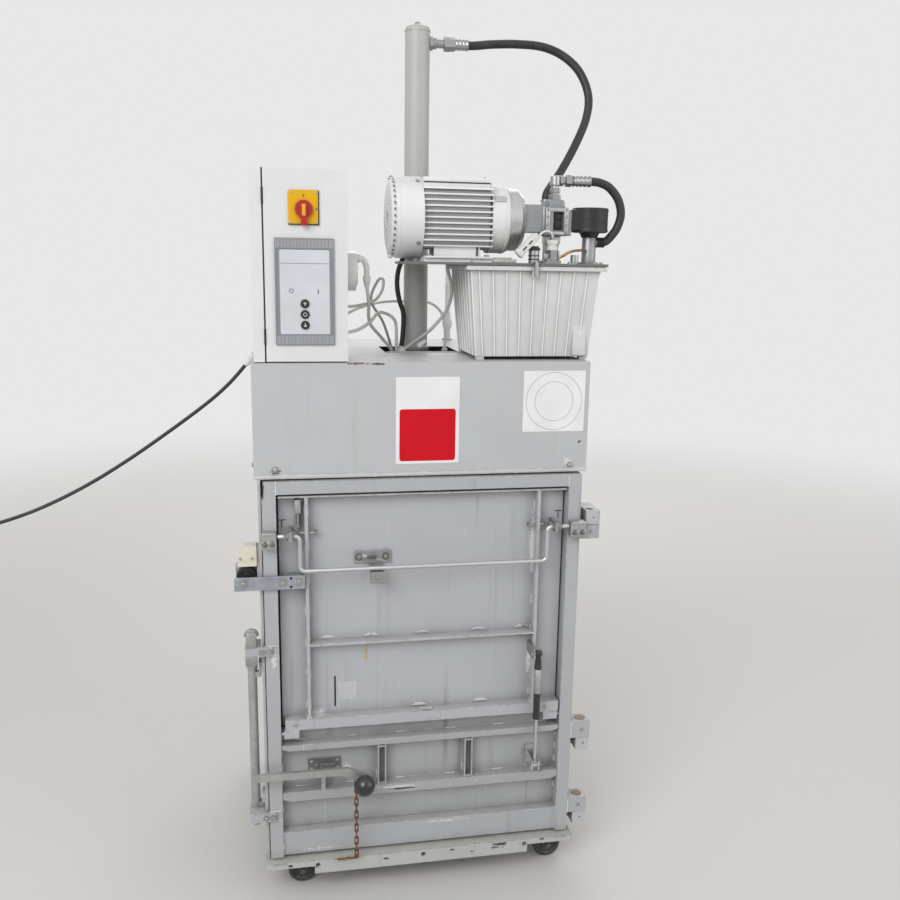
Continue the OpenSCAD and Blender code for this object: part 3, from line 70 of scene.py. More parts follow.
def make_camera():
    """The photograph's camera; roll turns it about the direction in which it looks."""
    data = bpy.data.cameras.new("photo_camera")
    data.sensor_width = SENSOR_WIDTH
    data.lens = FOCAL_PIXELS / IMAGE_SIZE * SENSOR_WIDTH
    data.clip_end = VIEW_REACH
    camera = bpy.data.objects.new("photo_camera", data)
    turn = Matrix.Rotation(CAMERA_YAW, 3, "Z")
    ahead = turn @ Vector((0, math.cos(CAMERA_PITCH), math.sin(CAMERA_PITCH)))
    level = turn @ Vector(RIGHT)
    upward = level.cross(ahead)
    right = math.cos(CAMERA_ROLL) * level + math.sin(CAMERA_ROLL) * upward
    top = math.cos(CAMERA_ROLL) * upward - math.sin(CAMERA_ROLL) * level
    pose = Matrix((right, top, -ahead)).transposed().to_4x4()
    pose.translation = CAMERA_PLACE
    camera.matrix_world = pose
    bpy.context.collection.objects.link(camera)
    bpy.context.scene.camera = camera


make_camera()


# ---------------------------------------------------------------- mesh helpers
def new_piece(name, mesh, material=None):
    """An object at the origin that shows the mesh."""
    obj = bpy.data.objects.new(name, mesh)
    bpy.context.collection.objects.link(obj)
    if material:
        mesh.materials.clear()
        mesh.materials.append(material)
    return obj


# Edges that bend by more than this many degrees stay sharp, on tubes and on all other pieces
TUBE_EDGE = 60
SHARP_EDGE = 38


def smooth_by_angle(mesh, degrees):
    """Shades a mesh smooth except at its sharp edges."""
    mesh.polygons.foreach_set("use_smooth", [True] * len(mesh.polygons))
    bm = bmesh.new()
    bm.from_mesh(mesh)
    limit = math.radians(degrees)
    for edge in bm.edges:
        edge.smooth = len(edge.link_faces) == 2 and edge.calc_face_angle(0) < limit
    bm.to_mesh(mesh)
    bm.free()


def smooth_route(points, steps):
    """Catmull-Rom curve through the points, as part.scad draws its hoses and cables."""
    points = [Vector(p) for p in points]
    last = len(points) - 1
    curve = []
    for i in range(last):
        before = points[i - 1] if i else 2 * points[0] - points[1]
        after = points[i + 2] if i < last - 1 else 2 * points[last] - points[last - 1]
        a, b = points[i], points[i + 1]
        for j in range(steps):
            t = j / steps
            curve.append(0.5 * (2 * a + (b - before) * t + (2 * before - 5 * a + 4 * b - after) * t * t
                                + (3 * a - before - 3 * b + after) * t ** 3))
    curve.append(points[last])
    return curve


def circle(sides):
    """Places on a circle of radius 1, as pairs of cosine and sine."""
    return [(math.cos(a), math.sin(a)) for a in (2 * math.pi * k / sides for k in range(sides))]


def bridge(bm, a, b):
    """Faces between two rings of vertices; a ring of one vertex is a tip."""
    count = max(len(a), len(b))
    for k in range(count):
        n = (k + 1) % count
        if len(a) == 1:
            bm.faces.new((a[0], b[n], b[k]))
        elif len(b) == 1:
            bm.faces.new((a[k], a[n], b[0]))
        else:
            bm.faces.new((a[k], a[n], b[n], b[k]))


def tube(name, points, radius, material, sides=20, steps=4):
    """A closed tube along a smooth route."""
    path = smooth_route(points, steps)
    bm = bmesh.new()
    count = len(path)
    along = [(path[min(i + 1, count - 1)] - path[max(i - 1, 0)]).normalized() for i in range(count)]
    side = Vector(UP if abs(along[0].z) < 0.9 else BACK)
    rings = []
    for p, ahead in zip(path, along):
        side = (side - side.dot(ahead) * ahead).normalized()
        other = ahead.cross(side)
        rings.append([bm.verts.new(p + radius * (c * side + s * other)) for c, s in circle(sides)])
    for a, b in zip(rings, rings[1:]):
        bridge(bm, a, b)
    bm.faces.new(list(reversed(rings[0])))
    bm.faces.new(rings[-1])
    mesh = bpy.data.meshes.new(name)
    bm.to_mesh(mesh)
    bm.free()
    smooth_by_angle(mesh, TUBE_EDGE)
    return new_piece(name, mesh, material)


# ---------------------------------------------------------------- colours
def srgb(red, green, blue):
    """A colour given as it shows on screen, 0 to 255, made linear."""
    return tuple(c / 12.92 if c <= 0.04045 else ((c + 0.055) / 1.055) ** 2.4
                 for c in (red / 255, green / 255, blue / 255)) + (1,)


BARE_STEEL = srgb(196, 196, 192)
# Brown-grey for runs and stains, also laid in corners as painted shade
SHADE_AND_DIRT = srgb(92, 86, 78)
RUST_DARK = srgb(80, 52, 41)
RUST_LIGHT = srgb(136, 92, 68)
# Colour and roughness of the patches that aren't rust
PATCH_TONES = {"dark": (srgb(52, 48, 46), 0.6), "pale": (srgb(205, 206, 205), 0.5),
               "yellow": (srgb(176, 160, 128), 0.5)}


# ---------------------------------------------------------------- shader building
class Nodes:
    """Places shader nodes in one tree and links them by passing sockets."""

    def __init__(self, tree):
        self.tree = tree

    def put(self, kind, inputs=None, **settings):
        node = self.tree.nodes.new(kind)
        for key, value in settings.items():
            setattr(node, key, value)
        for key, value in (inputs or {}).items():
            self.feed(node.inputs[key], value)
        return node

    def feed(self, socket, value):
        """Links a socket to the input, or sets the input to a plain value."""
        if isinstance(value, bpy.types.NodeSocket):
            self.tree.links.new(value, socket)
        else:
            socket.default_value = value

    def maths(self, operation, a, b=0.0, clamp=False):
        return self.put("ShaderNodeMath", {0: a, 1: b}, operation=operation, use_clamp=clamp).outputs[0]

    def fade(self, value, low, high):
        """0 below low and 1 above high, or the other way round, with a smooth change between."""
        return self.put("ShaderNodeMapRange", {"Value": value, "From Min": low, "From Max": high},
                        interpolation_type="SMOOTHSTEP").outputs["Result"]

    def noise(self, vector, scale, detail=3.0, roughness=0.55, distortion=0.0):
        return self.put("ShaderNodeTexNoise", {"Vector": vector, "Scale": scale, "Detail": detail,
                        "Roughness": roughness, "Distortion": distortion}).outputs["Fac"]

    def stretch(self, vector, scale):
        return self.put("ShaderNodeVectorMath", {0: vector, 1: scale}, operation="MULTIPLY").outputs[0]

    def mix(self, mask, a, b):
        node = self.put("ShaderNodeMix", data_type="RGBA")
        for key, value in ((0, mask), (6, a), (7, b)):
            self.feed(node.inputs[key], value)
        return node.outputs[2]

    def grouped(self, group, inputs):
        node = self.tree.nodes.new("ShaderNodeGroup")
        node.node_tree = group
        for key, value in inputs.items():
            self.feed(node.inputs[key], value)
        return node.outputs


def effect_group(name, inputs, outputs):
    """An empty shader node group; inputs and outputs are lists of (name, kind, value)."""
    tree = bpy.data.node_groups.new(name, "ShaderNodeTree")
    for direction, sockets in (("INPUT", inputs), ("OUTPUT", outputs)):
        for title, kind, value in sockets:
            socket = tree.interface.new_socket(title, in_out=direction, socket_type="NodeSocket" + kind)
            if value is not None and direction == "INPUT":
                socket.default_value = value
    nodes = Nodes(tree)
    given = nodes.put("NodeGroupInput").outputs
    result = nodes.put("NodeGroupOutput").inputs
    return nodes, given, result


def make_edge_wear_and_highlight():
    """Where an edge stands proud: a chipped mask of what shows through, and a softer rubbed one that also lays a
    painted highlight along edges.
    """
    n, given, result = effect_group("edge_wear_and_highlight", [
        ("Vector", "Vector", None), ("Radius", "Float", 0.003), ("Amount", "Float", 0.5),
        ("Chip Size", "Float", 60.0)], [("Chipped", "Float", None), ("Rubbed Highlight", "Float", None)])
    round_normal = n.put("ShaderNodeBevel", {"Radius": given["Radius"]}, samples=3).outputs[0]
    flat_normal = n.put("ShaderNodeNewGeometry").outputs["Normal"]
    bend = n.put("ShaderNodeVectorMath", {0: round_normal, 1: flat_normal}, operation="DOT_PRODUCT").outputs["Value"]
    edge = n.fade(n.maths("SUBTRACT", 1.0, bend), 0.01, 0.12)
    torn = n.noise(given["Vector"], given["Chip Size"], 5.0, 0.7)
    level = n.maths("SUBTRACT", 0.78, n.maths("MULTIPLY", given["Amount"], 0.45))
    chipped = n.maths("MULTIPLY", edge, n.fade(torn, level, n.maths("ADD", level, 0.04)), True)
    n.feed(result["Chipped"], chipped)
    n.feed(result["Rubbed Highlight"], n.maths("MULTIPLY", edge, given["Amount"], True))
    return n.tree


def make_corner_shade_and_dirt():
    """Painted shade in corners and under edges, from ambient occlusion, broken into blotches like grime."""
    n, given, result = effect_group("corner_shade_and_dirt", [
        ("Vector", "Vector", None), ("Reach", "Float", 0.03), ("Amount", "Float", 0.5),
        ("Blotch Size", "Float", 14.0)], [("Shade and Dirt", "Float", None)])
    shut_in = n.put("ShaderNodeAmbientOcclusion", {"Distance": given["Reach"]}, samples=4).outputs["AO"]
    blotch = n.fade(n.noise(given["Vector"], given["Blotch Size"], 5.0, 0.65), 0.3, 0.75)
    near = n.maths("MULTIPLY", n.fade(shut_in, 0.95, 0.35), n.maths("ADD", 0.35, n.maths("MULTIPLY", blotch, 0.65)))
    n.feed(result["Shade and Dirt"], n.maths("MULTIPLY", near, given["Amount"], True))
    return n.tree


def make_runs():
    """Thin marks that water and oil left as they ran down."""
    n, given, result = effect_group("runs", [
        ("Vector", "Vector", None), ("Spacing", "Float", 40.0), ("Amount", "Float", 0.4)],
        [("Runs", "Float", None)])
    lines = n.noise(n.stretch(given["Vector"], (1.0, 1.0, 0.035)), given["Spacing"], 3.0, 0.6)
    broken = n.noise(n.stretch(given["Vector"], (1.0, 1.0, 0.3)), 9.0, 3.0, 0.6)
    mask = n.maths("MULTIPLY", n.fade(lines, 0.56, 0.72), n.fade(broken, 0.42, 0.66))
    n.feed(result["Runs"], n.maths("MULTIPLY", mask, given["Amount"], True))
    return n.tree


def make_scratches():
    """Fine scratches in three directions, each cut short."""
    n, given, result = effect_group("scratches", [
        ("Vector", "Vector", None), ("Density", "Float", 1.0), ("Fineness", "Float", 260.0)],
        [("Scratches", "Float", None)])
    total = None
    for turn, seed in (((0.35, 0.2, 0.5), 3.1), ((-0.6, 0.9, -0.3), 7.7), ((1.3, -0.4, 1.1), 12.3)):
        turned = n.put("ShaderNodeMapping", {"Vector": given["Vector"], "Rotation": turn,
                       "Location": (seed, seed, seed), "Scale": (1.0, 1.0, 0.025)}).outputs[0]
        line = n.fade(n.noise(turned, given["Fineness"], 1.0, 0.4), 0.735, 0.775)
        place = n.fade(n.noise(given["Vector"], 9.0 + seed, 2.0), 0.56, 0.68)
        mark = n.maths("MULTIPLY", line, place)
        total = n.maths("MAXIMUM", total, mark) if total else mark
    n.feed(result["Scratches"], n.maths("MULTIPLY", total, given["Density"], True))
    return n.tree


def make_dust():
    """Dust that settled on what faces up."""
    n, given, result = effect_group("dust", [
        ("Vector", "Vector", None), ("Facing", "Vector", None), ("Amount", "Float", 0.3)],
        [("Dust", "Float", None)])
    up = n.put("ShaderNodeSeparateXYZ", {0: given["Facing"]}).outputs["Z"]
    patchy = n.fade(n.noise(given["Vector"], 22.0, 6.0, 0.7), 0.3, 0.7)
    mask = n.maths("MULTIPLY", n.fade(up, 0.45, 0.95), n.maths("ADD", 0.4, n.maths("MULTIPLY", patchy, 0.6)))
    n.feed(result["Dust"], n.maths("MULTIPLY", mask, given["Amount"], True))
    return n.tree


def make_rust():
    """Rust in blotches: where it is, its colour and how far it stands up."""
    n, given, result = effect_group("rust", [
        ("Vector", "Vector", None), ("Mask", "Float", 0.0), ("Amount", "Float", 0.2),
        ("Blotch Size", "Float", 30.0)],
        [("Rust", "Float", None), ("Colour", "Color", None), ("Height", "Float", None)])
    blotch = n.noise(given["Vector"], given["Blotch Size"], 8.0, 0.72, 0.4)
    level = n.maths("SUBTRACT", 0.86, n.maths("MULTIPLY", given["Amount"], 0.45))
    own = n.fade(blotch, level, n.maths("ADD", level, 0.06))
    helped = n.maths("MULTIPLY", given["Mask"], n.fade(blotch, 0.36, 0.52))
    rust = n.maths("MAXIMUM", own, helped)
    tone = n.noise(given["Vector"], 120.0, 6.0, 0.7)
    n.feed(result["Rust"], n.maths("MULTIPLY", rust, 1.0, True))
    n.feed(result["Colour"], n.mix(n.fade(tone, 0.3, 0.7), RUST_DARK, RUST_LIGHT))
    n.feed(result["Height"], n.maths("MULTIPLY", rust, tone))
    return n.tree


def make_skin():
    """The fine surface of a coating or casting, and slow changes of its tone."""
    n, given, result = effect_group("skin", [
        ("Vector", "Vector", None), ("Grain", "Float", 700.0), ("Wave", "Float", 60.0),
        ("Tone Size", "Float", 5.0)],
        [("Height", "Float", None), ("Tone", "Float", None)])
    fine = n.noise(given["Vector"], given["Grain"], 2.0, 0.6)
    slow = n.noise(given["Vector"], given["Wave"], 2.0, 0.5)
    n.feed(result["Height"], n.maths("ADD", n.maths("MULTIPLY", fine, 0.35), n.maths("MULTIPLY", slow, 0.65)))
    n.feed(result["Tone"], n.fade(n.noise(given["Vector"], given["Tone Size"], 6.0, 0.65), 0.25, 0.75))
    return n.tree


def make_patch():
    """One ragged patch round a place, such as a stain, a chip or a worn spot."""
    n, given, result = effect_group("patch", [
        ("Vector", "Vector", None), ("Place", "Vector", None), ("Size", "Vector", (0.01, 0.01, 0.01)),
        ("Ragged", "Float", 0.5)], [("Patch", "Float", None)])
    away = n.put("ShaderNodeVectorMath", {0: given["Vector"], 1: given["Place"]}, operation="SUBTRACT").outputs[0]
    away = n.put("ShaderNodeVectorMath", {0: away, 1: given["Size"]}, operation="DIVIDE").outputs[0]
    far = n.put("ShaderNodeVectorMath", {0: away}, operation="LENGTH").outputs["Value"]
    torn = n.maths("MULTIPLY", n.maths("SUBTRACT", n.noise(given["Vector"], 170.0, 6.0, 0.75), 0.5), given["Ragged"])
    n.feed(result["Patch"], n.fade(n.maths("ADD", far, n.maths("MULTIPLY", torn, 7.0)), 0.9, 0.55))
    return n.tree


EDGE_WEAR_AND_HIGHLIGHT = make_edge_wear_and_highlight()
CORNER_SHADE_AND_DIRT = make_corner_shade_and_dirt()
RUNS = make_runs()
SCRATCHES = make_scratches()
DUST = make_dust()
RUST = make_rust()
SKIN = make_skin()
PATCH = make_patch()


class Finish:
    """A material under way: its nodes, its colour and roughness so far, and the height for its bump."""

    def __init__(self, name, colour, roughness, metallic=0.0, specular=0.5, coat=0.0):
        self.material = bpy.data.materials.new(name)
        self.material.use_nodes = True
        self.nodes = Nodes(self.material.node_tree)
        self.shader = self.material.node_tree.nodes["Principled BSDF"]
        coords = self.nodes.put("ShaderNodeTexCoord").outputs
        self.place = coords["Object"]
        self.facing = coords["Normal"]
        self.colour = colour
        self.roughness = roughness
        self.metallic = metallic
        self.height = None
        self.shader.inputs["Specular IOR Level"].default_value = specular
        if coat:
            self.shader.inputs["Coat Weight"].default_value = coat
            self.shader.inputs["Coat Roughness"].default_value = 0.15

    def group(self, group, **inputs):
        given = {key.replace("_", " "): value for key, value in inputs.items()}
        return self.nodes.grouped(group, {"Vector": self.place, **given})

    def lay(self, mask, colour=None, roughness=None, metallic=None):
        """Lays another colour, roughness or metal over what is there, as far as the mask goes."""
        n = self.nodes
        if colour is not None:
            self.colour = n.mix(mask, self.colour, colour)
        for key, value in (("roughness", roughness), ("metallic", metallic)):
            if value is not None:
                before = getattr(self, key)
                node = n.put("ShaderNodeMix", data_type="FLOAT")
                for number, given in ((0, mask), (2, before), (3, value)):
                    n.feed(node.inputs[number], given)
                setattr(self, key, node.outputs[0])

    def raise_by(self, height, amount):
        """Adds to the height from which the bump is made; a negative amount presses in."""
        scaled = self.nodes.maths("MULTIPLY", height, amount)
        self.height = self.nodes.maths("ADD", self.height, scaled) if self.height else scaled

    def done(self, strength=0.4, distance=0.001):
        """Links what has been laid to the shader and returns the material."""
        n = self.nodes
        n.feed(self.shader.inputs["Base Color"], self.colour)
        n.feed(self.shader.inputs["Roughness"], self.roughness)
        n.feed(self.shader.inputs["Metallic"], self.metallic)
        if self.height:
            bump = n.put("ShaderNodeBump", {"Height": self.height, "Strength": strength, "Distance": distance})
            n.feed(self.shader.inputs["Normal"], bump.outputs[0])
        return self.material


def darker(colour, share):
    """The colour times a share; a share over 1 makes it brighter."""
    return tuple(c * share for c in colour[:3]) + (1,)


def paint(name, colour, roughness=0.42, wear_and_highlight=0.4, rust=0.12, shade_and_dirt=0.45, runs=0.25, dust=0.2, scratches=0.6,
          patches=(), under=BARE_STEEL, grain=700.0):
    """Enamel on steel: worn edges that are partly a painted highlight, rust, painted shade with grime in corners,
    runs, scratches, dust and patches at known places.
    """
    f = Finish(name, colour, roughness)
    skin = f.group(SKIN, Grain=grain)
    f.lay(skin["Tone"], colour=darker(colour, 0.93), roughness=roughness + 0.08)
    f.raise_by(skin["Height"], 0.5)
    edge = f.group(EDGE_WEAR_AND_HIGHLIGHT, Amount=wear_and_highlight)
    # edges made lighter than the paint: partly rubbed wear, partly a painted highlight along every edge
    f.lay(edge["Rubbed Highlight"], colour=tuple(min(1.0, c * 1.3 + 0.02) for c in colour[:3]) + (1,))
    f.lay(f.group(RUNS, Amount=runs)["Runs"], colour=darker(SHADE_AND_DIRT, 1.15), roughness=0.6)
    # painted shade: ambient occlusion darkens corners and the undersides of edges, in grime-like blotches
    f.lay(f.group(CORNER_SHADE_AND_DIRT, Amount=shade_and_dirt)["Shade and Dirt"], colour=SHADE_AND_DIRT, roughness=0.75)
    marks = f.group(SCRATCHES, Density=scratches)["Scratches"]
    f.lay(marks, colour=under, roughness=0.35)
    f.raise_by(marks, -0.4)
    f.lay(edge["Chipped"], colour=under, roughness=0.4, metallic=0.3)
    f.raise_by(edge["Chipped"], -0.8)
    for place, size, what in patches:
        rusted = what == "rust"
        mask = f.group(PATCH, Place=tuple(at(*place)), Size=tuple(s * MM for s in size),
                       Ragged=0.8 if rusted else 0.5)["Patch"]
        if rusted:
            blotch = f.group(RUST, Mask=mask, Amount=0.0, Blotch_Size=60.0)
            f.lay(blotch["Rust"], colour=blotch["Colour"], roughness=0.85)
            f.raise_by(blotch["Height"], 1.2)
        else:
            tint, rough = PATCH_TONES[what]
            f.lay(mask, colour=tint, roughness=rough)
            f.raise_by(mask, -0.5)
    own = f.group(RUST, Mask=edge["Chipped"], Amount=rust)
    f.lay(f.nodes.maths("MULTIPLY", own["Rust"], 0.85), colour=own["Colour"], roughness=0.85, metallic=0.0)
    f.raise_by(own["Height"], 0.9)
    f.lay(f.group(DUST, Facing=f.facing, Amount=dust)["Dust"], colour=srgb(176, 170, 160), roughness=0.85)
    return f.done()


def metal(name, colour, roughness=0.35, rust=0.1, shade_and_dirt=0.4, dust=0.15, metallic=1.0, cloudy=0.5, brushed=None,
          grain=500.0):
    """Bare or plated metal: cloudy tone, brush lines, handling marks, rust specks, edges partly lit by a painted
    highlight, and painted shade with grime in corners.
    """
    f = Finish(name, colour, roughness, metallic)
    skin = f.group(SKIN, Grain=grain, Wave=160.0, Tone_Size=26.0)
    f.lay(f.nodes.maths("MULTIPLY", skin["Tone"], cloudy), colour=darker(colour, 0.62), roughness=roughness + 0.22)
    f.raise_by(skin["Height"], 0.35)
    if brushed:
        lines = f.nodes.noise(f.nodes.stretch(f.place, brushed), 900.0, 2.0, 0.6)
        f.lay(f.nodes.fade(lines, 0.35, 0.7), colour=darker(colour, 0.85), roughness=roughness + 0.12)
        f.raise_by(lines, 0.25)
    edge = f.group(EDGE_WEAR_AND_HIGHLIGHT, Amount=0.3, Radius=0.0015)
    # edges made brighter and smoother: partly rubbed wear, partly a painted highlight
    f.lay(edge["Rubbed Highlight"], colour=tuple(min(1.0, c * 1.25) for c in colour[:3]) + (1,), roughness=roughness * 0.8)
    # painted shade: darker in corners and under edges, from ambient occlusion
    f.lay(f.group(CORNER_SHADE_AND_DIRT, Amount=shade_and_dirt, Reach=0.012)["Shade and Dirt"], colour=darker(SHADE_AND_DIRT, 0.6), roughness=0.8,
          metallic=0.0)
    marks = f.group(SCRATCHES, Density=0.7, Fineness=420.0)["Scratches"]
    bright = max(colour[:3]) >= 0.8
    f.lay(marks, colour=colour if bright else darker(colour, 1.2), roughness=roughness * 0.7)
    own = f.group(RUST, Amount=rust, Blotch_Size=45.0)
    f.lay(own["Rust"], colour=own["Colour"], roughness=0.85, metallic=0.0)
    f.raise_by(own["Height"], 0.8)
    f.lay(f.group(DUST, Facing=f.facing, Amount=dust)["Dust"], colour=srgb(170, 164, 154), roughness=0.9,
          metallic=0.0)
    return f.done()


def plastic(name, colour, roughness=0.4, shade_and_dirt=0.35, dust=0.2, scratches=0.4, grain=900.0, coat=0.0, stain=0.0,
            stain_colour=SHADE_AND_DIRT, bump=0.25, specular=0.5):
    """Moulded plastic or rubber: fine grain, uneven tone, scuffed edges that are partly a painted highlight, stains,
    painted shade with grime in corners, and dust.
    """
    f = Finish(name, colour, roughness, coat=coat, specular=specular)
    skin = f.group(SKIN, Grain=grain, Wave=90.0, Tone_Size=12.0)
    f.lay(skin["Tone"], colour=darker(colour, 0.9), roughness=roughness + 0.07)
    f.raise_by(skin["Height"], 0.5)
    edge = f.group(EDGE_WEAR_AND_HIGHLIGHT, Amount=0.2, Radius=0.002)
    # edge colour drawn towards mid-grey, for scuffed edges and scratches; on dark mouldings the edges also carry a
    # painted highlight
    pale = tuple(c + (0.5 - c) * 0.18 for c in colour[:3]) + (1,)
    f.lay(edge["Rubbed Highlight"], colour=pale, roughness=roughness + 0.15)
    if stain:
        blotch = f.nodes.fade(f.nodes.noise(f.place, 17.0, 6.0, 0.65, 0.5), 0.42, 0.72)
        f.lay(f.nodes.maths("MULTIPLY", blotch, stain), colour=stain_colour, roughness=0.6)
    # painted shade: darker in corners and under edges, from ambient occlusion
    f.lay(f.group(CORNER_SHADE_AND_DIRT, Amount=shade_and_dirt, Reach=0.015)["Shade and Dirt"], colour=darker(SHADE_AND_DIRT, 0.8), roughness=0.8)
    marks = f.group(SCRATCHES, Density=scratches, Fineness=380.0)["Scratches"]
    f.lay(marks, colour=pale, roughness=0.55)
    f.lay(f.group(DUST, Facing=f.facing, Amount=dust)["Dust"], colour=srgb(172, 167, 158), roughness=0.9)
    return f.done(strength=bump)


# ---------------------------------------------------------------- finishes of the frame
GREY = srgb(185, 187, 190)
# Pale grey that shows through chips and scratches; the pale chips along edges also paint the highlight that edges
# catch
CHIP_AND_HIGHLIGHT_GREY = srgb(208, 209, 209)
DOOR_GREY = srgb(172, 175, 179)
BASE_GREY = srgb(184, 186, 183)
ZINC = srgb(178, 180, 178)

# Patches are (place, half sizes, what shows), in millimetres from the housing front's middle
housing_paint = paint("housing_enamel", GREY, wear_and_highlight=0.35, rust=0.05, shade_and_dirt=0.3, runs=0.12, dust=0.25, patches=(
    ((-150, 0, 1276), (26, 8, 4), "rust"), ((-106, 0, 1274), (22, 6, 3), "dark"),
    ((333, 0, 1046), (12, 6, 12), "pale"), ((-333, 0, 1038), (12, 6, 9), "dark"),
    ((360, 0, 1092), (5, 4, 4), "dark")))
frame_paint = paint("body_enamel", GREY, wear_and_highlight=0.5, rust=0.16, shade_and_dirt=0.5, runs=0.3, under=CHIP_AND_HIGHLIGHT_GREY, patches=(
    ((398, 22, 893), (26, 34, 4), "rust"), ((398, 22, 380), (24, 30, 4), "rust")))
door_paint = paint("door_enamel", DOOR_GREY, wear_and_highlight=0.75, rust=0.06, shade_and_dirt=0.5, runs=0.3, under=CHIP_AND_HIGHLIGHT_GREY, patches=(
    ((-362, -12, 1000), (4, 10, 26), "dark"), ((-346, -12, 600), (7, 10, 26), "pale"),
    ((-250, -14, 108), (60, 14, 5), "pale"), ((60, -10, 150), (70, 8, 5), "pale")))
panel_paint = paint("panel_enamel", srgb(166, 168, 170), wear_and_highlight=0.7, rust=0.09, shade_and_dirt=0.65, runs=0.55, scratches=0.9,
                    under=CHIP_AND_HIGHLIGHT_GREY, patches=(
    ((-180, 20, 300), (12, 8, 16), "pale"), ((-112, 24, 352), (4, 8, 30), "yellow"),
    ((-50, -10, 250), (34, 12, 3), "dark"), ((-60, -10, 256), (60, 12, 4), "pale"),
    ((120, 10, 254), (60, 20, 4), "pale")))
flap_paint = paint("flap_enamel", srgb(177, 179, 184), wear_and_highlight=0.7, rust=0.05, shade_and_dirt=0.5, runs=0.35, scratches=0.9,
                   under=CHIP_AND_HIGHLIGHT_GREY, patches=(
    ((262, 18, 850), (10, 8, 90), "pale"), ((262, 18, 560), (8, 8, 60), "pale"),
    ((-134, 17, 600), (5, 6, 44), "yellow"), ((0, -2, 452), (190, 12, 4), "pale"),
    ((-250, 10, 452), (26, 20, 10), "pale"), ((30, -2, 440), (12, 8, 6), "dark")))
base_paint = paint("base_enamel", BASE_GREY, roughness=0.5, wear_and_highlight=0.95, rust=0.3, shade_and_dirt=0.7, runs=0.4, scratches=0.9,
                   dust=0.3, under=CHIP_AND_HIGHLIGHT_GREY, patches=(
    ((192, -30, 86), (24, 10, 5), "dark"), ((182, -30, 78), (14, 10, 4), "rust"),
    ((-186, -30, 90), (26, 10, 3), "rust"), ((-196, -30, 84), (16, 10, 2), "yellow"),
    ((-320, -30, 84), (6, 10, 5), "dark"), ((-90, -30, 78), (9, 10, 3), "dark"),
    ((70, -30, 84), (7, 10, 4), "dark"), ((120, -30, 74), (10, 10, 3), "rust"),
    ((300, -30, 88), (8, 10, 3), "dark"), ((-268, -30, 74), (10, 10, 4), "rust")))
mast_paint = paint("cylinder_enamel", srgb(178, 179, 175), roughness=0.38, wear_and_highlight=0.5, rust=0.05, shade_and_dirt=0.4, runs=0.3)
inside_paint = paint("press_enamel", srgb(150, 152, 154), roughness=0.6, wear_and_highlight=0.8, rust=0.45, shade_and_dirt=0.7, runs=0.3)

zinc = metal("dull_zinc", ZINC, roughness=0.42, rust=0.12)
lock_zinc = metal("lock_lever_steel", srgb(186, 187, 186), roughness=0.42, rust=0.3, shade_and_dirt=0.4, cloudy=0.6,
                  metallic=0.75)
castor_zinc = metal("castor_zinc", srgb(120, 121, 120), roughness=0.5, rust=0.4, shade_and_dirt=0.9, cloudy=0.9, dust=0.4)
bar_zinc = metal("galvanised_bar", srgb(188, 195, 206), roughness=0.36, rust=0.06, cloudy=1.0)
keeper_steel = metal("cast_keeper_steel", srgb(190, 191, 190), roughness=0.45, rust=0.12, shade_and_dirt=0.5, cloudy=0.7,
                     grain=300.0)
lid_paint = paint("lid_enamel", srgb(104, 104, 104), roughness=0.5, wear_and_highlight=0.6, rust=0.15, shade_and_dirt=0.6, runs=0.2, dust=0.5)
strike_steel = metal("strike_plate_steel", srgb(128, 129, 129), roughness=0.45, rust=0.15, shade_and_dirt=0.6)
valve_steel = metal("valve_plate_steel", srgb(188, 190, 192), roughness=0.4, rust=0.0, shade_and_dirt=0.5, cloudy=0.5)
bright_steel = metal("fitting_steel", srgb(176, 177, 176), roughness=0.28, rust=0.03, shade_and_dirt=0.35, cloudy=0.35)
worn_steel = metal("hand_worn_steel", srgb(216, 217, 220), roughness=0.34, rust=0.16, shade_and_dirt=0.4,
                   brushed=(0.06, 1.0, 1.0))
pin_steel = metal("hinge_pin_steel", srgb(132, 116, 100), roughness=0.55, rust=0.62, shade_and_dirt=0.5)
chrome = metal("hard_chrome", srgb(214, 215, 216), roughness=0.12, rust=0.0, shade_and_dirt=0.1, cloudy=0.12, dust=0.0,
               brushed=(1.0, 1.0, 0.04))
aluminium = metal("cast_aluminium_skin", srgb(158, 160, 163), roughness=0.45, rust=0.0, shade_and_dirt=0.45, cloudy=0.4,
                  grain=420.0)
machined = metal("machined_aluminium", srgb(214, 215, 214), roughness=0.25, rust=0.0, shade_and_dirt=0.3, cloudy=0.25,
                 brushed=(1.0, 0.02, 0.02))
brass = metal("brass_pipe_skin", srgb(176, 142, 84), roughness=0.32, rust=0.0, shade_and_dirt=0.4, cloudy=0.5)
rusty = metal("rusty_chain_steel", srgb(132, 92, 66), roughness=0.7, rust=0.85, shade_and_dirt=0.6, cloudy=0.8, metallic=0.6)

castor_rubber = plastic("castor_tyre_rubber", srgb(54, 54, 54), roughness=0.62, shade_and_dirt=0.8, dust=0.5, stain=0.5,
                        stain_colour=srgb(92, 88, 82))
gloss_black = plastic("gloss_black_moulding", srgb(30, 30, 33), roughness=0.14, coat=0.5, shade_and_dirt=0.2, dust=0.12,
                      scratches=0.5, bump=0.1)
satin_black = plastic("satin_black_moulding", srgb(30, 30, 34), roughness=0.4, dust=0.18)
spring_black = plastic("spring_enamel", srgb(32, 32, 34), roughness=0.22, coat=0.3, dust=0.15)
cream = plastic("cream_moulding", srgb(222, 217, 200), roughness=0.4, shade_and_dirt=0.5, stain=0.12,
                stain_colour=srgb(186, 170, 132))
white_moulding = plastic("white_moulding", srgb(222, 222, 218), roughness=0.38, shade_and_dirt=0.4)
tank_moulding = plastic("tank_moulding", srgb(208, 209, 210), roughness=0.42, shade_and_dirt=0.5, stain=0.14,
                        stain_colour=srgb(168, 162, 148), grain=500.0)
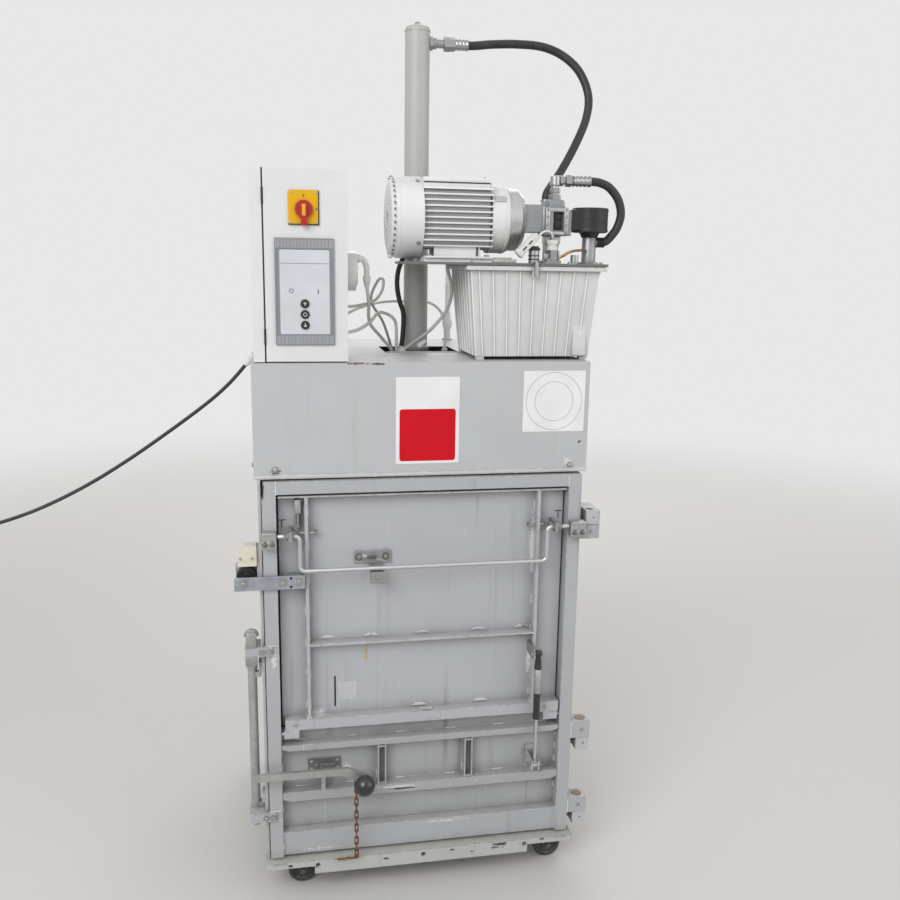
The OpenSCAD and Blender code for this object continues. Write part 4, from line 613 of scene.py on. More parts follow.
powder_white = paint("cabinet_powder_coat", srgb(216, 218, 219), roughness=0.4, wear_and_highlight=0.12, rust=0.0, shade_and_dirt=0.25,
                     runs=0.08, scratches=0.35, under=srgb(150, 150, 150), grain=1100.0)
socket_grey = plastic("socket_moulding", srgb(224, 224, 223), roughness=0.24, coat=0.3, shade_and_dirt=0.4)
# Near-white for the tank's ridge crests: a painted highlight where the ridges catch the light
ridge_highlight_white = plastic("tank_ridge_painted_highlight", srgb(238, 238, 237), roughness=0.4, shade_and_dirt=0.1, dust=0.05)
weld_paint = paint("weld_enamel", srgb(204, 206, 208), roughness=0.4, wear_and_highlight=0.5, rust=0.1, shade_and_dirt=0.25, runs=0.0)
rib_grey = plastic("keypad_rib_moulding", srgb(186, 188, 193), roughness=0.5, shade_and_dirt=0.1, dust=0.05)
yellow = plastic("switch_yellow_moulding", srgb(224, 172, 6), roughness=0.42, specular=0.3)
red = plastic("switch_red_moulding", srgb(176, 14, 18), roughness=0.3, coat=0.15, dust=0.05, scratches=0.2)
keypad_grey = plastic("keypad_moulding", srgb(134, 137, 144), roughness=0.5, shade_and_dirt=0.4)
# Mid-grey for the core between the motor's fins: painted shade in the deep gaps between them
motor_core_shade_paint = paint("motor_core_painted_shade", srgb(152, 154, 158), roughness=0.5, wear_and_highlight=0.2, rust=0.03, shade_and_dirt=0.2,
                         runs=0.1)
motor_enamel = paint("motor_enamel", srgb(224, 225, 226), roughness=0.45, wear_and_highlight=0.3, rust=0.04, shade_and_dirt=0.25, runs=0.15,
                     dust=0.3, grain=420.0)
hose_skin = plastic("hose_skin", srgb(38, 38, 40), roughness=0.45, shade_and_dirt=0.4, dust=0.35, stain=0.25,
                    stain_colour=srgb(78, 76, 72))
cable_skin = plastic("grey_cable_skin", srgb(196, 198, 196), roughness=0.42, shade_and_dirt=0.45)
white_cable = plastic("white_cable_skin", srgb(222, 222, 216), roughness=0.4, shade_and_dirt=0.4)
# Black for seals, slots and holes, and as painted shade in the gap beside the cabinet's door
black_gap = plastic("black_seal_and_gap_shade", srgb(26, 26, 28), roughness=0.6)
flap_label_film = plastic("flap_label_film", srgb(190, 192, 197), roughness=0.35, shade_and_dirt=0.3, dust=0.1, scratches=0.5)
label_film = plastic("keypad_label_film", srgb(204, 209, 216), roughness=0.3, shade_and_dirt=0.25, dust=0.08, scratches=0.3)
sign_white = plastic("sign_plate_white", srgb(232, 233, 236), roughness=0.28, shade_and_dirt=0.2, dust=0.1, scratches=0.3)
sign_red = plastic("sign_field_red", srgb(204, 0, 26), roughness=0.45, specular=0.25, shade_and_dirt=0.1, dust=0.08,
                   scratches=0.3)
ring_grey = plastic("printed_ring_grey", srgb(168, 172, 178), roughness=0.35, shade_and_dirt=0.1, dust=0.05)
lip_paint = paint("folded_lip_enamel", srgb(200, 201, 200), roughness=0.45, wear_and_highlight=0.8, rust=0.2, shade_and_dirt=0.4, runs=0.2)


JOIN_WITHIN = 0.01 * MM
FLAT_WITHIN = math.radians(0.6)


def dress(material, *names, bevel=1.2, angle=32):
    """Gives CAD nodes their material, and their sharp edges a small real radius."""
    for name in names:
        obj = NODES[name]
        mesh = obj.data
        mesh.materials.clear()
        mesh.materials.append(material)
        mesh.polygons.foreach_set("use_smooth", [True] * len(mesh.polygons))
        weld = obj.modifiers.new("joined_triangles", "WELD")
        weld.merge_threshold = JOIN_WITHIN
        if bevel:
            flat = obj.modifiers.new("flat_faces", "DECIMATE")
            flat.decimate_type = "DISSOLVE"
            flat.angle_limit = FLAT_WITHIN
            edge = obj.modifiers.new("broken_edges", "BEVEL")
            edge.width = bevel * MM
            edge.segments = 2
            edge.limit_method = "ANGLE"
            edge.angle_limit = math.radians(angle)
            edge.use_clamp_overlap = True
            edge.harden_normals = True
        shade = obj.modifiers.new("even_shading", "WEIGHTED_NORMAL")
        shade.keep_sharp = True
        shade.weight = 80


dress(housing_paint, "housing_cover", bevel=2.0)
dress(frame_paint, "left_wall", "right_wall", "back_wall", "body_brackets", "cross_beam")
dress(inside_paint, "chamber_floor", "press_platen")
dress(door_paint, "door_frame", "door_hinge_blocks", "door_brackets", bevel=1.6)
dress(panel_paint, "lower_panel")
dress(flap_paint, "flap_panel", "flap_bars")
dress(base_paint, "base_frame")
dress(mast_paint, "cylinder", bevel=1.0)
for corner in ("front_left", "front_right", "rear_left", "rear_right"):
    dress(castor_zinc, "castor_fork_" + corner, bevel=0.5)
    dress(castor_rubber, "castor_wheel_" + corner, bevel=0.6)
dress(keeper_steel, "latch_plates", bevel=1.4)
dress(zinc, "flap_fittings", bevel=0.8)
dress(bar_zinc, "safety_bar", bevel=0.6)
dress(lock_zinc, "lock_lever", bevel=0.8)
dress(lid_paint, "tank_lid", bevel=1.2)
dress(bright_steel, "steel_fittings", "motor_rotor", bevel=0.8)
dress(chrome, "gas_spring_rod", "piston_rod", bevel=0.5)
dress(worn_steel, "grip_bar", "flap_hinge_pins", bevel=0)
dress(pin_steel, "hinge_pins", bevel=1.0)
dress(spring_black, "gas_spring_cylinder", bevel=0.6)
dress(gloss_black, "lock_knob", bevel=0)
dress(satin_black, "switch_roller", "return_filter", "power_plug", "button_up", "button_stop", "button_down",
      bevel=0.8)
dress(rusty, "lock_chain", bevel=0)
dress(cream, "switch_cover", bevel=1.5)
dress(socket_grey, "cable_entries", bevel=1.5)
dress(tank_moulding, "oil_tank", bevel=1.2, angle=40)
dress(powder_white, "cabinet_body", "cabinet_door", bevel=2.0)
dress(yellow, "main_switch_plate", bevel=0.8)
dress(red, "main_switch_knob", bevel=1.2)
dress(keypad_grey, "keypad", bevel=0.7)
dress(motor_enamel, "motor_body", "fan_cowl", bevel=0.8)
dress(machined, "drive_flange", bevel=0.8)
dress(aluminium, "pump_block", bevel=1.0)
dress(hose_skin, "hoses", bevel=0)
dress(cable_skin, "control_cables", bevel=0)


# ---------------------------------------------------------------- power cable
POWER_ROUTE = [at(x, 300, z) for x, z in (
    (-402, 1240), (-418, 1221), (-440, 1197), (-472, 1167), (-513, 1134), (-560, 1099), (-610, 1063),
    (-660, 1028), (-710, 995), (-760, 964), (-810, 936), (-860, 911), (-910, 889), (-960, 871),
    (-1010, 856), (-1060, 843))]
POWER_RADIUS = 4.5 * MM
POWER_STEPS = 4


def lay_power_cable():
    """The cable from the housing's side to its plug, held up by something outside the photograph."""
    cable = tube("power_cable_sheath", POWER_ROUTE, POWER_RADIUS, hose_skin, sides=12, steps=POWER_STEPS)
    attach(cable, "machine")
    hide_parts("power_cable")


lay_power_cable()


# ---------------------------------------------------------------- building pieces
def across(direction):
    """Two directions at right angles to the given one and to each other."""
    direction = Vector(direction).normalized()
    side = Vector(UP if abs(direction.z) < 0.9 else RIGHT)
    side = (side - side.dot(direction) * direction).normalized()
    return direction, side, direction.cross(side)


class Kit:
    """Collects the forms of one piece, in millimetres from the housing front's middle."""

    def __init__(self):
        self.bm = bmesh.new()

    def block(self, low, high, edge=0.8, tilt=0.0, about="X"):
        """A block between two corners with rounded edges, tilted in degrees about an axis through its middle."""
        low, high = Vector(low), Vector(high)
        middle = (low + high) / 2
        size = high - low
        made = bmesh.ops.create_cube(self.bm, size=1.0)["verts"]
        bmesh.ops.scale(self.bm, vec=size, verts=made)
        if edge:
            edges = list({e for v in made for e in v.link_edges})
            made = bmesh.ops.bevel(self.bm, geom=edges, offset=min(edge, min(size) * 0.4), segments=2, profile=0.5,
                                   affect="EDGES")["verts"]
        turn = Matrix.Rotation(math.radians(tilt), 4, about)
        bmesh.ops.transform(self.bm, matrix=Matrix.Translation(middle) @ turn, verts=made)
        return self

    def turned(self, place, direction, profile, sides=28):
        """A turned form: the profile is a list of (height along the direction, radius) from end to end."""
        place = Vector(place)
        along, side, other = across(direction)
        rings = []
        for height, radius in profile:
            around = circle(sides) if radius > 0 else [(0, 0)]
            rings.append([self.bm.verts.new(place + along * height + radius * (c * side + s * other))
                          for c, s in around])
        for a, b in zip(rings, rings[1:]):
            bridge(self.bm, a, b)
        for ring, flip in ((rings[0], True), (rings[-1], False)):
            if len(ring) > 1:
                self.bm.faces.new(list(reversed(ring)) if flip else ring)
        return self

    def sleeve(self, place, direction, profile, bore, sides=28):
        """A turned form with a hole of the given radius right through it."""
        along, side, other = across(direction)
        outline = [(profile[0][0], bore)] + list(profile) + [(profile[-1][0], bore)]
        rings = [[self.bm.verts.new(Vector(place) + along * height + radius * (c * side + s * other))
                  for c, s in circle(sides)] for height, radius in outline]
        for a, b in zip(rings, rings[1:] + rings[:1]):
            bridge(self.bm, a, b)
        return self

    def nut(self, place, direction, across_corners, height, chamfer=0.8):
        """A hexagon nut or a bolt's head with its corners turned off."""
        r = across_corners / 2
        return self.turned(place, direction, [(0, r - chamfer), (chamfer * 0.6, r), (height - chamfer * 0.6, r),
                                              (height, r - chamfer)], sides=6)

    def rod(self, a, b, radius, sides=20, chamfer=0.5):
        """A round rod from one place to another, with chamfered ends."""
        a, b = Vector(a), Vector(b)
        h = (b - a).length
        c = min(chamfer, radius * 0.5, h * 0.4)
        return self.turned(a, b - a, [(0, radius - c), (c, radius), (h - c, radius), (h, radius - c)], sides)

    def plate(self, outline, holes, place, flat_x, flat_y, thickness):
        """A flat plate with an outline and round holes, drawn in its own two directions."""
        place, flat_x, flat_y = Vector(place), Vector(flat_x).normalized(), Vector(flat_y).normalized()
        out = flat_x.cross(flat_y)
        loops = [outline] + [[(x + r * c, y + r * s) for c, s in circle(24)] for x, y, r in holes]
        edges, verts = [], []
        for loop in loops:
            ring = [self.bm.verts.new(place + flat_x * x + flat_y * y) for x, y in loop]
            verts += ring
            edges += [self.bm.edges.new((ring[k], ring[(k + 1) % len(ring)])) for k in range(len(ring))]
        filled = bmesh.ops.triangle_fill(self.bm, use_beauty=True, use_dissolve=False, edges=edges)["geom"]
        faces = [f for f in filled if isinstance(f, bmesh.types.BMFace)]
        extruded = bmesh.ops.extrude_face_region(self.bm, geom=faces)["geom"]
        moved = [v for v in extruded if isinstance(v, bmesh.types.BMVert)]
        bmesh.ops.translate(self.bm, vec=out * thickness, verts=moved)
        bmesh.ops.recalc_face_normals(self.bm, faces=list({f for v in verts + moved for f in v.link_faces}))
        return self

    def ring(self, place, direction, radius, wire, sides=40, around=6):
        """A thin closed ring of round wire."""
        place = Vector(place)
        along, side, other = across(direction)
        loops = []
        for c, s in circle(sides):
            outward = c * side + s * other
            loops.append([self.bm.verts.new(place + outward * (radius + wire * u) + along * wire * v)
                          for u, v in circle(around)])
        for a, b in zip(loops, loops[1:] + loops[:1]):
            bridge(self.bm, b, a)
        return self

    def add(self, mesh):
        """Takes in a mesh that already stands in the frame."""
        start = len(self.bm.verts)
        self.bm.from_mesh(mesh)
        self.bm.verts.ensure_lookup_table()
        for v in self.bm.verts[start:]:
            v.co = Vector((v.co.x / MM - HOUSING_X, v.co.y / MM - HOUSING_Y, v.co.z / MM))
        return self

    def done(self, name, body, material, slot, replaces=(), smooth=SHARP_EDGE):
        """Ends the piece: its mesh in the frame's metres, on its body; the slot is not used."""
        mesh = bpy.data.meshes.new(name)
        for v in self.bm.verts:
            v.co = at(*v.co)
        bmesh.ops.recalc_face_normals(self.bm, faces=self.bm.faces)
        self.bm.to_mesh(mesh)
        self.bm.free()
        smooth_by_angle(mesh, smooth)
        return settle(new_piece(name, mesh, material), body, replaces)


def settle(obj, body, replaces=()):
    """Says which body the piece rides on and which nodes it stands for."""
    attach(obj, body)
    if replaces:
        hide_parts(*replaces)
    return obj


def rounded_outline(width, height, radius, steps=5):
    """Corners of a rounded rectangle round its own middle."""
    points = []
    for sx, sy, start in ((1, 1, 0), (-1, 1, 90), (-1, -1, 180), (1, -1, 270)):
        cx, cy = sx * (width / 2 - radius), sy * (height / 2 - radius)
        points += [(cx + radius * math.cos(math.radians(start + 90 * k / steps)),
                    cy + radius * math.sin(math.radians(start + 90 * k / steps))) for k in range(steps + 1)]
    return points


# ---------------------------------------------------------------- repeated parts, grown by geometry nodes
def growth_tree(name, inputs):
    """An empty geometry tree with a Geometry input and output and the given (name, kind, value) inputs."""
    tree = bpy.data.node_groups.new(name, "GeometryNodeTree")
    tree.interface.new_socket("Geometry", in_out="INPUT", socket_type="NodeSocketGeometry")
    for title, kind, value in inputs:
        socket = tree.interface.new_socket(title, in_out="INPUT", socket_type="NodeSocket" + kind)
        if value is not None:
            socket.default_value = value
    tree.interface.new_socket("Material", in_out="INPUT", socket_type="NodeSocketMaterial")
    tree.interface.new_socket("Geometry", in_out="OUTPUT", socket_type="NodeSocketGeometry")
    n = Nodes(tree)
    return n, n.put("NodeGroupInput").outputs, n.put("NodeGroupOutput").inputs


def end_growth(n, given, result, grown):
    """Every tree ends the same way: instances made real, and the material set."""
    real = n.put("GeometryNodeRealizeInstances", {"Geometry": grown}).outputs[0]
    painted = n.put("GeometryNodeSetMaterial", {"Geometry": real, "Material": given["Material"]}).outputs[0]
    n.feed(result["Geometry"], painted)
    return n.tree


def named(n, title, kind="FLOAT_VECTOR"):
    """The value that each point carries under this name."""
    return n.put("GeometryNodeInputNamedAttribute", {"Name": title}, data_type=kind).outputs["Attribute"]


def on_points(n, points, instance, **placing):
    """One instance at every point, turned or scaled by what the points carry."""
    return n.put("GeometryNodeInstanceOnPoints", {"Points": points, "Instance": instance, **placing}).outputs[0]


def raised(n, part, height):
    """The part moved up along its own axis."""
    lift = n.put("ShaderNodeCombineXYZ", {"Z": height}).outputs[0]
    return n.put("GeometryNodeTransform", {"Geometry": part, "Translation": lift}).outputs[0]


def make_fastener_tree():
    """A head on a washer at every point, turned to face along the point's aim."""
    n, given, result = growth_tree("fasteners", [
        ("Corners", "Int", 6), ("Radius", "Float", 0.004), ("Height", "Float", 0.003), ("Washer", "Float", 1.6),
        ("Washer Height", "Float", 0.0008), ("Seed", "Int", 4)])
    drum = n.put("GeometryNodeMeshCylinder", {"Vertices": given["Corners"], "Radius": given["Radius"],
                                              "Depth": given["Height"]}).outputs["Mesh"]
    half = n.maths("MULTIPLY", given["Height"], 0.5)
    crown = n.put("GeometryNodeMeshCone", {
        "Vertices": given["Corners"], "Radius Bottom": given["Radius"],
        "Radius Top": n.maths("MULTIPLY", given["Radius"], 0.8),
        "Depth": n.maths("MULTIPLY", given["Height"], 0.22)}).outputs["Mesh"]
    drum = raised(n, drum, n.maths("ADD", half, given["Washer Height"]))
    crown = raised(n, crown, n.maths("ADD", given["Height"], given["Washer Height"]))
    washer = n.put("GeometryNodeMeshCylinder", {
        "Vertices": 20, "Radius": n.maths("MULTIPLY", given["Radius"], given["Washer"]),
        "Depth": given["Washer Height"]}).outputs["Mesh"]
    washer = raised(n, washer, n.maths("MULTIPLY", given["Washer Height"], 0.5))
    join = n.put("GeometryNodeJoinGeometry")
    for part in (drum, crown, washer):
        n.tree.links.new(part, join.inputs[0])
    turn = n.put("FunctionNodeAlignRotationToVector", {"Vector": named(n, "aim")}, axis="Z").outputs[0]
    spin = n.put("FunctionNodeRandomValue", {"Max": 6.28, "Seed": given["Seed"]}, data_type="FLOAT")
    about = n.put("ShaderNodeCombineXYZ", {"Z": spin.outputs[1]}).outputs[0]
    turn = n.put("FunctionNodeRotateRotation", {"Rotation": turn, "Rotate By": about},
                 rotation_space="LOCAL").outputs[0]
    return end_growth(n, given, result, on_points(n, given["Geometry"], join.outputs[0], Rotation=turn))


def make_weld_tree():
    """Overlapping drops along each line, as a weld bead sets."""
    n, given, result = growth_tree("weld_beads", [
        ("Pitch", "Float", 0.0022), ("Radius", "Float", 0.0024), ("Seed", "Int", 7)])
    curve = n.put("GeometryNodeMeshToCurve", {"Mesh": given["Geometry"]}).outputs[0]
    dots = n.put("GeometryNodeCurveToPoints", {"Curve": curve, "Length": given["Pitch"]}, mode="LENGTH").outputs[0]
    drop = n.put("GeometryNodeMeshIcoSphere", {"Radius": given["Radius"], "Subdivisions": 2}).outputs[0]
    size = n.put("FunctionNodeRandomValue", {"Min": (0.8, 0.8, 0.6), "Max": (1.15, 1.15, 0.9), "Seed": given["Seed"]},
                 data_type="FLOAT_VECTOR").outputs[0]
    return end_growth(n, given, result, on_points(n, dots, drop, Scale=size))


def make_chain_tree():
    """A chain: one long-sided link at every point, each turned by the point's turn."""
    n, given, result = growth_tree("chain_links", [
        ("Ring", "Float", 0.0036), ("Reach", "Float", 0.0069), ("Wire", "Float", 0.0017)])
    loop = n.put("GeometryNodeCurvePrimitiveCircle", {"Resolution": 24, "Radius": given["Ring"]}).outputs[0]
    upright = n.put("GeometryNodeTransform", {"Geometry": loop, "Rotation": (math.pi / 2, 0, 0)}).outputs[0]
    z = n.put("ShaderNodeSeparateXYZ", {0: n.put("GeometryNodeInputPosition").outputs[0]}).outputs["Z"]
    push = n.maths("MULTIPLY", n.maths("SIGN", n.put("ShaderNodeMath", {0: z, 1: 0.0002},
                   operation="SNAP").outputs[0]), given["Reach"])
    long = n.put("GeometryNodeSetPosition", {"Geometry": upright,
                 "Offset": n.put("ShaderNodeCombineXYZ", {"Z": push}).outputs[0]}).outputs[0]
    wire = n.put("GeometryNodeCurvePrimitiveCircle", {"Resolution": 10, "Radius": given["Wire"]}).outputs[0]
    link = n.put("GeometryNodeCurveToMesh", {"Curve": long, "Profile Curve": wire}).outputs[0]
    turn = n.put("ShaderNodeCombineXYZ", {"Z": named(n, "turn", "FLOAT")}).outputs[0]
    return end_growth(n, given, result, on_points(n, given["Geometry"], link, Rotation=turn))


def make_bar_tree():
    """A small bar at every point, standing along its aim: ribs, vents and dial ticks."""
    n, given, result = growth_tree("small_bars", [("Size", "Vector", (0.001, 0.001, 0.01))])
    bar = n.put("GeometryNodeMeshCube", {"Size": given["Size"]}).outputs[0]
    turn = n.put("FunctionNodeAlignRotationToVector", {"Vector": named(n, "aim")}, axis="Y").outputs[0]
    return end_growth(n, given, result, on_points(n, given["Geometry"], bar, Rotation=turn))


FASTENERS = make_fastener_tree()
WELD_BEADS = make_weld_tree()
CHAIN_LINKS = make_chain_tree()
SMALL_BARS = make_bar_tree()


def grow(name, tree, points, material, edges=(), attributes=None, **sizes):
    """Runs a tree over points given in millimetres and returns its result as a plain mesh."""
    mesh = bpy.data.meshes.new(name)
    mesh.from_pydata([at(*p) for p in points], edges, [])
    for title, values in (attributes or {}).items():
        vector = isinstance(values[0], (tuple, Vector))
        layer = mesh.attributes.new(title, "FLOAT_VECTOR" if vector else "FLOAT", "POINT")
        layer.data.foreach_set("vector" if vector else "value", [c for v in values for c in v] if vector else values)
    obj = new_piece(name, mesh)
    modifier = obj.modifiers.new("growth", "NODES")
    modifier.node_group = tree
    given = {key.replace("_", " "): value for key, value in sizes.items()}
    given["Material"] = material
    for item in tree.interface.items_tree:
        if item.item_type == "SOCKET" and item.in_out == "INPUT" and item.name in given:
            modifier[item.identifier] = given.pop(item.name)
    assert not given, f"{name}: the tree has no input {sorted(given)}"
    grown = bpy.data.meshes.new_from_object(obj.evaluated_get(bpy.context.evaluated_depsgraph_get()))
    grown.name = name
    obj.modifiers.remove(modifier)
    obj.data = grown
    smooth_by_angle(grown, SHARP_EDGE)
    return obj


def spots(xs, ys, zs, aim):
    """Every place that the x, y and z values make together, each one number or several, all with one aim."""
    xs, ys, zs = ((v,) if isinstance(v, (int, float)) else v for v in (xs, ys, zs))
    return [(x, y, z, aim) for x in xs for y in ys for z in zs]


def bars(name, body, places, material, size):
    """Small bars of one size, in millimetres, at (x, y, z, aim) places on one body."""
    obj = grow(name, SMALL_BARS, [p[:3] for p in places], material, attributes={"aim": [tuple(p[3]) for p in places]},
               Size=tuple(s * MM for s in size))
    return settle(obj, body)


def fasten(name, body, places, material=zinc, radius=4.0, height=3.0, corners=6, washer=1.6, washer_height=0.8):
    """Plated screws or bolts at (x, y, z, aim) places on one body; aim is a direction."""
    obj = grow(name, FASTENERS, [p[:3] for p in places], material, attributes={"aim": [tuple(p[3]) for p in places]},
               Radius=radius * MM, Height=height * MM, Corners=corners, Washer=washer,
               Washer_Height=washer_height * MM)
    return settle(obj, body)


def weld(name, body, lines, material, slot, radius=2.4):
    """Weld beads along lines given as pairs of points."""
    points = [p for line in lines for p in line]
    edges = [(2 * i, 2 * i + 1) for i in range(len(lines))]
    return settle(grow(name, WELD_BEADS, points, material, edges=edges, Radius=radius * MM,
                       Pitch=radius * 0.95 * MM), body)


# ---------------------------------------------------------------- hoses and cables
ROUTE_STEPS = 5


def lay_cord(name, route, radius, material, replaced=(), sides=14):
    """A hose, cable or wire between two places on the machine."""
    points = [at(*p) for p in route]
    obj = settle(tube(name, points, radius * MM, material, sides=sides, steps=ROUTE_STEPS), "machine", replaced)


HOSE_RADIUS = 10
PRESSURE_ROUTE = [
    (139, 316, 2007), (153, 316, 2007), (172, 316, 2009), (205, 315, 2013), (263, 312, 2016), (327, 306, 2012),
    (378, 298, 1992), (418, 288, 1955), (438, 274, 1900), (431, 262, 1845), (404, 248, 1785),
    (369, 234, 1725), (339, 222, 1683), (325, 212, 1665), (321, 210, 1653), (321, 210, 1642)]
RETURN_ROUTE = [
    (399, 130, 1684), (412, 130, 1684), (428, 130, 1682), (451, 130, 1672), (474, 130, 1646), (483, 130, 1612),
    (475, 130, 1581), (461, 130, 1561), (450, 130, 1550), (440, 130, 1546), (431, 130, 1546)]
# Each control cable's route, radius and skin
CABLES = [
    ([(-145, 110, 1500), (-130, 112, 1498), (-121, 118, 1480), (-119, 130, 1440), (-112, 160, 1400),
      (-104, 220, 1350), (-70, 270, 1310), (-45, 285, 1281), (-42, 290, 1268)], 4.0, white_cable),
    ([(-170, 120, 1392), (-140, 150, 1393), (-100, 175, 1402), (-78, 190, 1426), (-74, 200, 1452),
      (-84, 230, 1448), (-95, 280, 1400), (-60, 330, 1345), (-36, 355, 1281), (-34, 360, 1268)], 3.4, cable_skin),
    ([(-170, 100, 1335), (-140, 140, 1338), (-107, 190, 1352), (-78, 230, 1374), (-40, 255, 1355),
      (-34, 262, 1310), (-34, 266, 1268)], 4.0, white_cable),
    ([(-170, 140, 1372), (-130, 200, 1386), (-60, 380, 1392), (0, 410, 1394), (60, 400, 1394),
      (92, 350, 1370), (100, 330, 1320), (98, 322, 1268)], 3.4, white_cable),
    ([(-22, 262, 1268), (-14, 258, 1281), (10, 248, 1302), (43, 220, 1332), (74, 202, 1372),
      (87, 190, 1405), (88, 180, 1430), (83, 170, 1453), (75, 163, 1474), (72, 160, 1489)], 4.0, cable_skin),
    ([(-20, 292, 1268), (-14, 292, 1320), (-13, 292, 1368), (-23, 292, 1400), (-29, 292, 1438),
      (-26, 292, 1473), (-15, 291, 1503), (-4, 286, 1532), (22, 272, 1578), (50, 257, 1620),
      (62, 248, 1650), (67, 237, 1663), (68, 225, 1668), (68, 212.6, 1668)], 6.0, hose_skin),
]
# The short white wire from the slanted plug to the valve cap
PLUG_WIRE_ROUTE = [
    (300, 70, 1544), (300, 69, 1552), (294, 64, 1563), (282, 60, 1567), (270, 59, 1562), (262, 59, 1553),
    (257, 60, 1549)]


def lay_hoses_and_cables():
    """Both hoses, and the control cables between the cabinet, the motor and the housing."""
    lay_cord("pressure_hose", PRESSURE_ROUTE, HOSE_RADIUS, hose_skin, ["hoses"], sides=20)
    lay_cord("return_hose", RETURN_ROUTE, HOSE_RADIUS, hose_skin, ["hoses"], sides=20)
    for number, (route, radius, skin) in enumerate(CABLES, 1):
        lay_cord(f"control_cable_{number}", route, radius, skin, ["control_cables"])


def crimp(kit, start, direction, length, radius=13.5):
    """A crimped sleeve with four pressed grooves."""
    lead, grooves, groove_depth = 3, 4, 1.6
    step = (length - 2 * lead) / grooves
    profile = [(0, radius - 3), (1, radius)]
    for k in range(grooves):
        a = lead + k * (length - 2 * lead) / grooves
        profile += [(a, radius), (a + step * 0.25, radius - groove_depth), (a + step * 0.6, radius - groove_depth),
                    (a + step * 0.85, radius)]
    return kit.turned(start, direction, profile + [(length - 1, radius), (length, radius - 2)], sides=24)


# The pump's middle in depth, and the height at which the return hose leaves it
PUMP_Y = 130
RETURN_Z = 1684


def make_hose_ends():
    """Crimped sleeves on the hoses and the hexagons of their unions."""
    kit = Kit()
    crimp(kit, (104, MAST_Y, HOSE_PORT_Z), RIGHT, 40)
    kit.nut((84, MAST_Y, HOSE_PORT_Z), RIGHT, 34, 16)
    crimp(kit, (360, PUMP_Y, RETURN_Z), RIGHT, 44, 13)
    for x, width, height in ((343, 27, 14), (329, 25, 9)):
        kit.nut((x, PUMP_Y, RETURN_Z), RIGHT, width, height)
    kit.turned((319, PUMP_Y, 1672), UP, [(0, 10), (2, 12), (21, 12), (23, 9), (23.5, 0)], sides=20)
    for z, width, height in ((1640, 30, 12), (1656, 26, 10)):
        kit.nut((319, PUMP_Y, z), UP, width, height)
    crimp(kit, (321, 210, 1611), UP, 36, 13)
    kit.nut((321, 210, 1600), UP, 28, 12)
    kit.done("hose_unions", "machine", bright_steel, "zinc_plated")
    kit = Kit()
    crimp(kit, (424, PUMP_Y, 1546), RIGHT, 20, 12)
    kit.done("return_hose_sleeve", "machine", satin_black, "zinc_plated")


# ---------------------------------------------------------------- motor
MOTOR_Y = 150
MOTOR_Z = 1593.2


def round_motor(degrees, x, radius, aim=None):
    """Places on a circle round the motor's shaft, each aimed outward unless an aim is given."""
    angles = [math.radians(d) for d in degrees]
    return [(x, MOTOR_Y + radius * math.cos(a), MOTOR_Z + radius * math.sin(a), aim or (0, math.cos(a), math.sin(a)))
            for a in angles]


def make_motor_details():
    """The motor's rings, vents and screws, its terminal box and its feet."""
    fasten("cowl_screws", "machine",
           [(-8, 102, MOTOR_Z + 77, (0, -0.53, 0.85)), (-8, 79, MOTOR_Z - 57, (0, -0.78, -0.63)),
            (-8, 221, MOTOR_Z - 57, (0, 0.78, -0.63)), (-8, 198, MOTOR_Z + 77, (0, 0.53, 0.85))],
           bright_steel, radius=3.6, height=3, corners=16, washer=1.3)
    bars("cowl_vents", "machine", round_motor(range(0, 360, 9), -63, 91.2), strike_steel,
         (4.2, 0.8, 5.5))
    kit = Kit()
    for x, radius, wire, sides in ((-50, 90.6, 1.0, 72), (-3, 90.4, 1.3, 72), (164, 75.6, 1.4, 64),
                                   (196, 75.8, 1.6, 64)):
        kit.ring((x, MOTOR_Y, MOTOR_Z), RIGHT, radius, wire, sides=sides)
    kit.block((155, 92, MOTOR_Z + 48), (163, 208, MOTOR_Z + 80), edge=3)
    kit.block((3.5, 87.2, MOTOR_Z + 77), (155.4, 212.8, MOTOR_Z + 86.8), edge=2.6)
    kit.block((4, 60, 1503), (158, 92, 1508), edge=1.5)
    for x in (28, 122):
        kit.block((x, 84, 1506), (x + 12, 92, MOTOR_Z - 58), edge=2)
    kit.done("motor_trim", "machine", motor_enamel, "motor_paint")
    # a core that fills the gaps between the fins; its mid-grey paints the shade between them
    Kit().plate(rounded_outline(139, 139, 20), [(0, 0, 58)], (5, MOTOR_Y, MOTOR_Z), BACK, UP, 150).done(
        "motor_core", "machine", motor_core_shade_paint, "motor_paint")
    Kit().block((4, 86.9, MOTOR_Z + 74.2), (155, 213.1, MOTOR_Z + 77), edge=0.6).done(
        "terminal_box_seal", "machine", black_gap, "motor_paint")
    fasten("terminal_box_screws", "machine", spots((14, 144), (97, 203), MOTOR_Z + 86.6, UP), radius=3.2, height=2.2,
           corners=16, washer=1.2, washer_height=0.5)
    fasten("motor_feet_bolts", "machine", spots((15, 147), (74, 226), 1504.2, UP), radius=6.5, height=5, washer=1.5,
           washer_height=1.5)
    fasten("shield_bolts", "machine", round_motor((20, 65, 115, 160, 200, 245, 295, 340), 201, 72.2, RIGHT),
           radius=2.4, height=2.2, washer=1.2, washer_height=0.4)
    Kit().block((168, 84, MOTOR_Z + 36), (192, 86, MOTOR_Z + 50), edge=0.6, tilt=-33).done(
        "bare_motor_plate", "machine", machined, "cast_aluminium")
    kit = Kit()
    kit.block((160, 62, 1495.4), (214, 94, 1503), edge=1.5)
    kit.block((166, 66, 1502), (204, 90, 1507), edge=1.2)
    kit.done("motor_end_pad", "machine", lip_paint, "motor_paint")


# ---------------------------------------------------------------- pump, valve, filter and plugs on the lid
LID_TOP = 1495.3
FILTER_X = 407
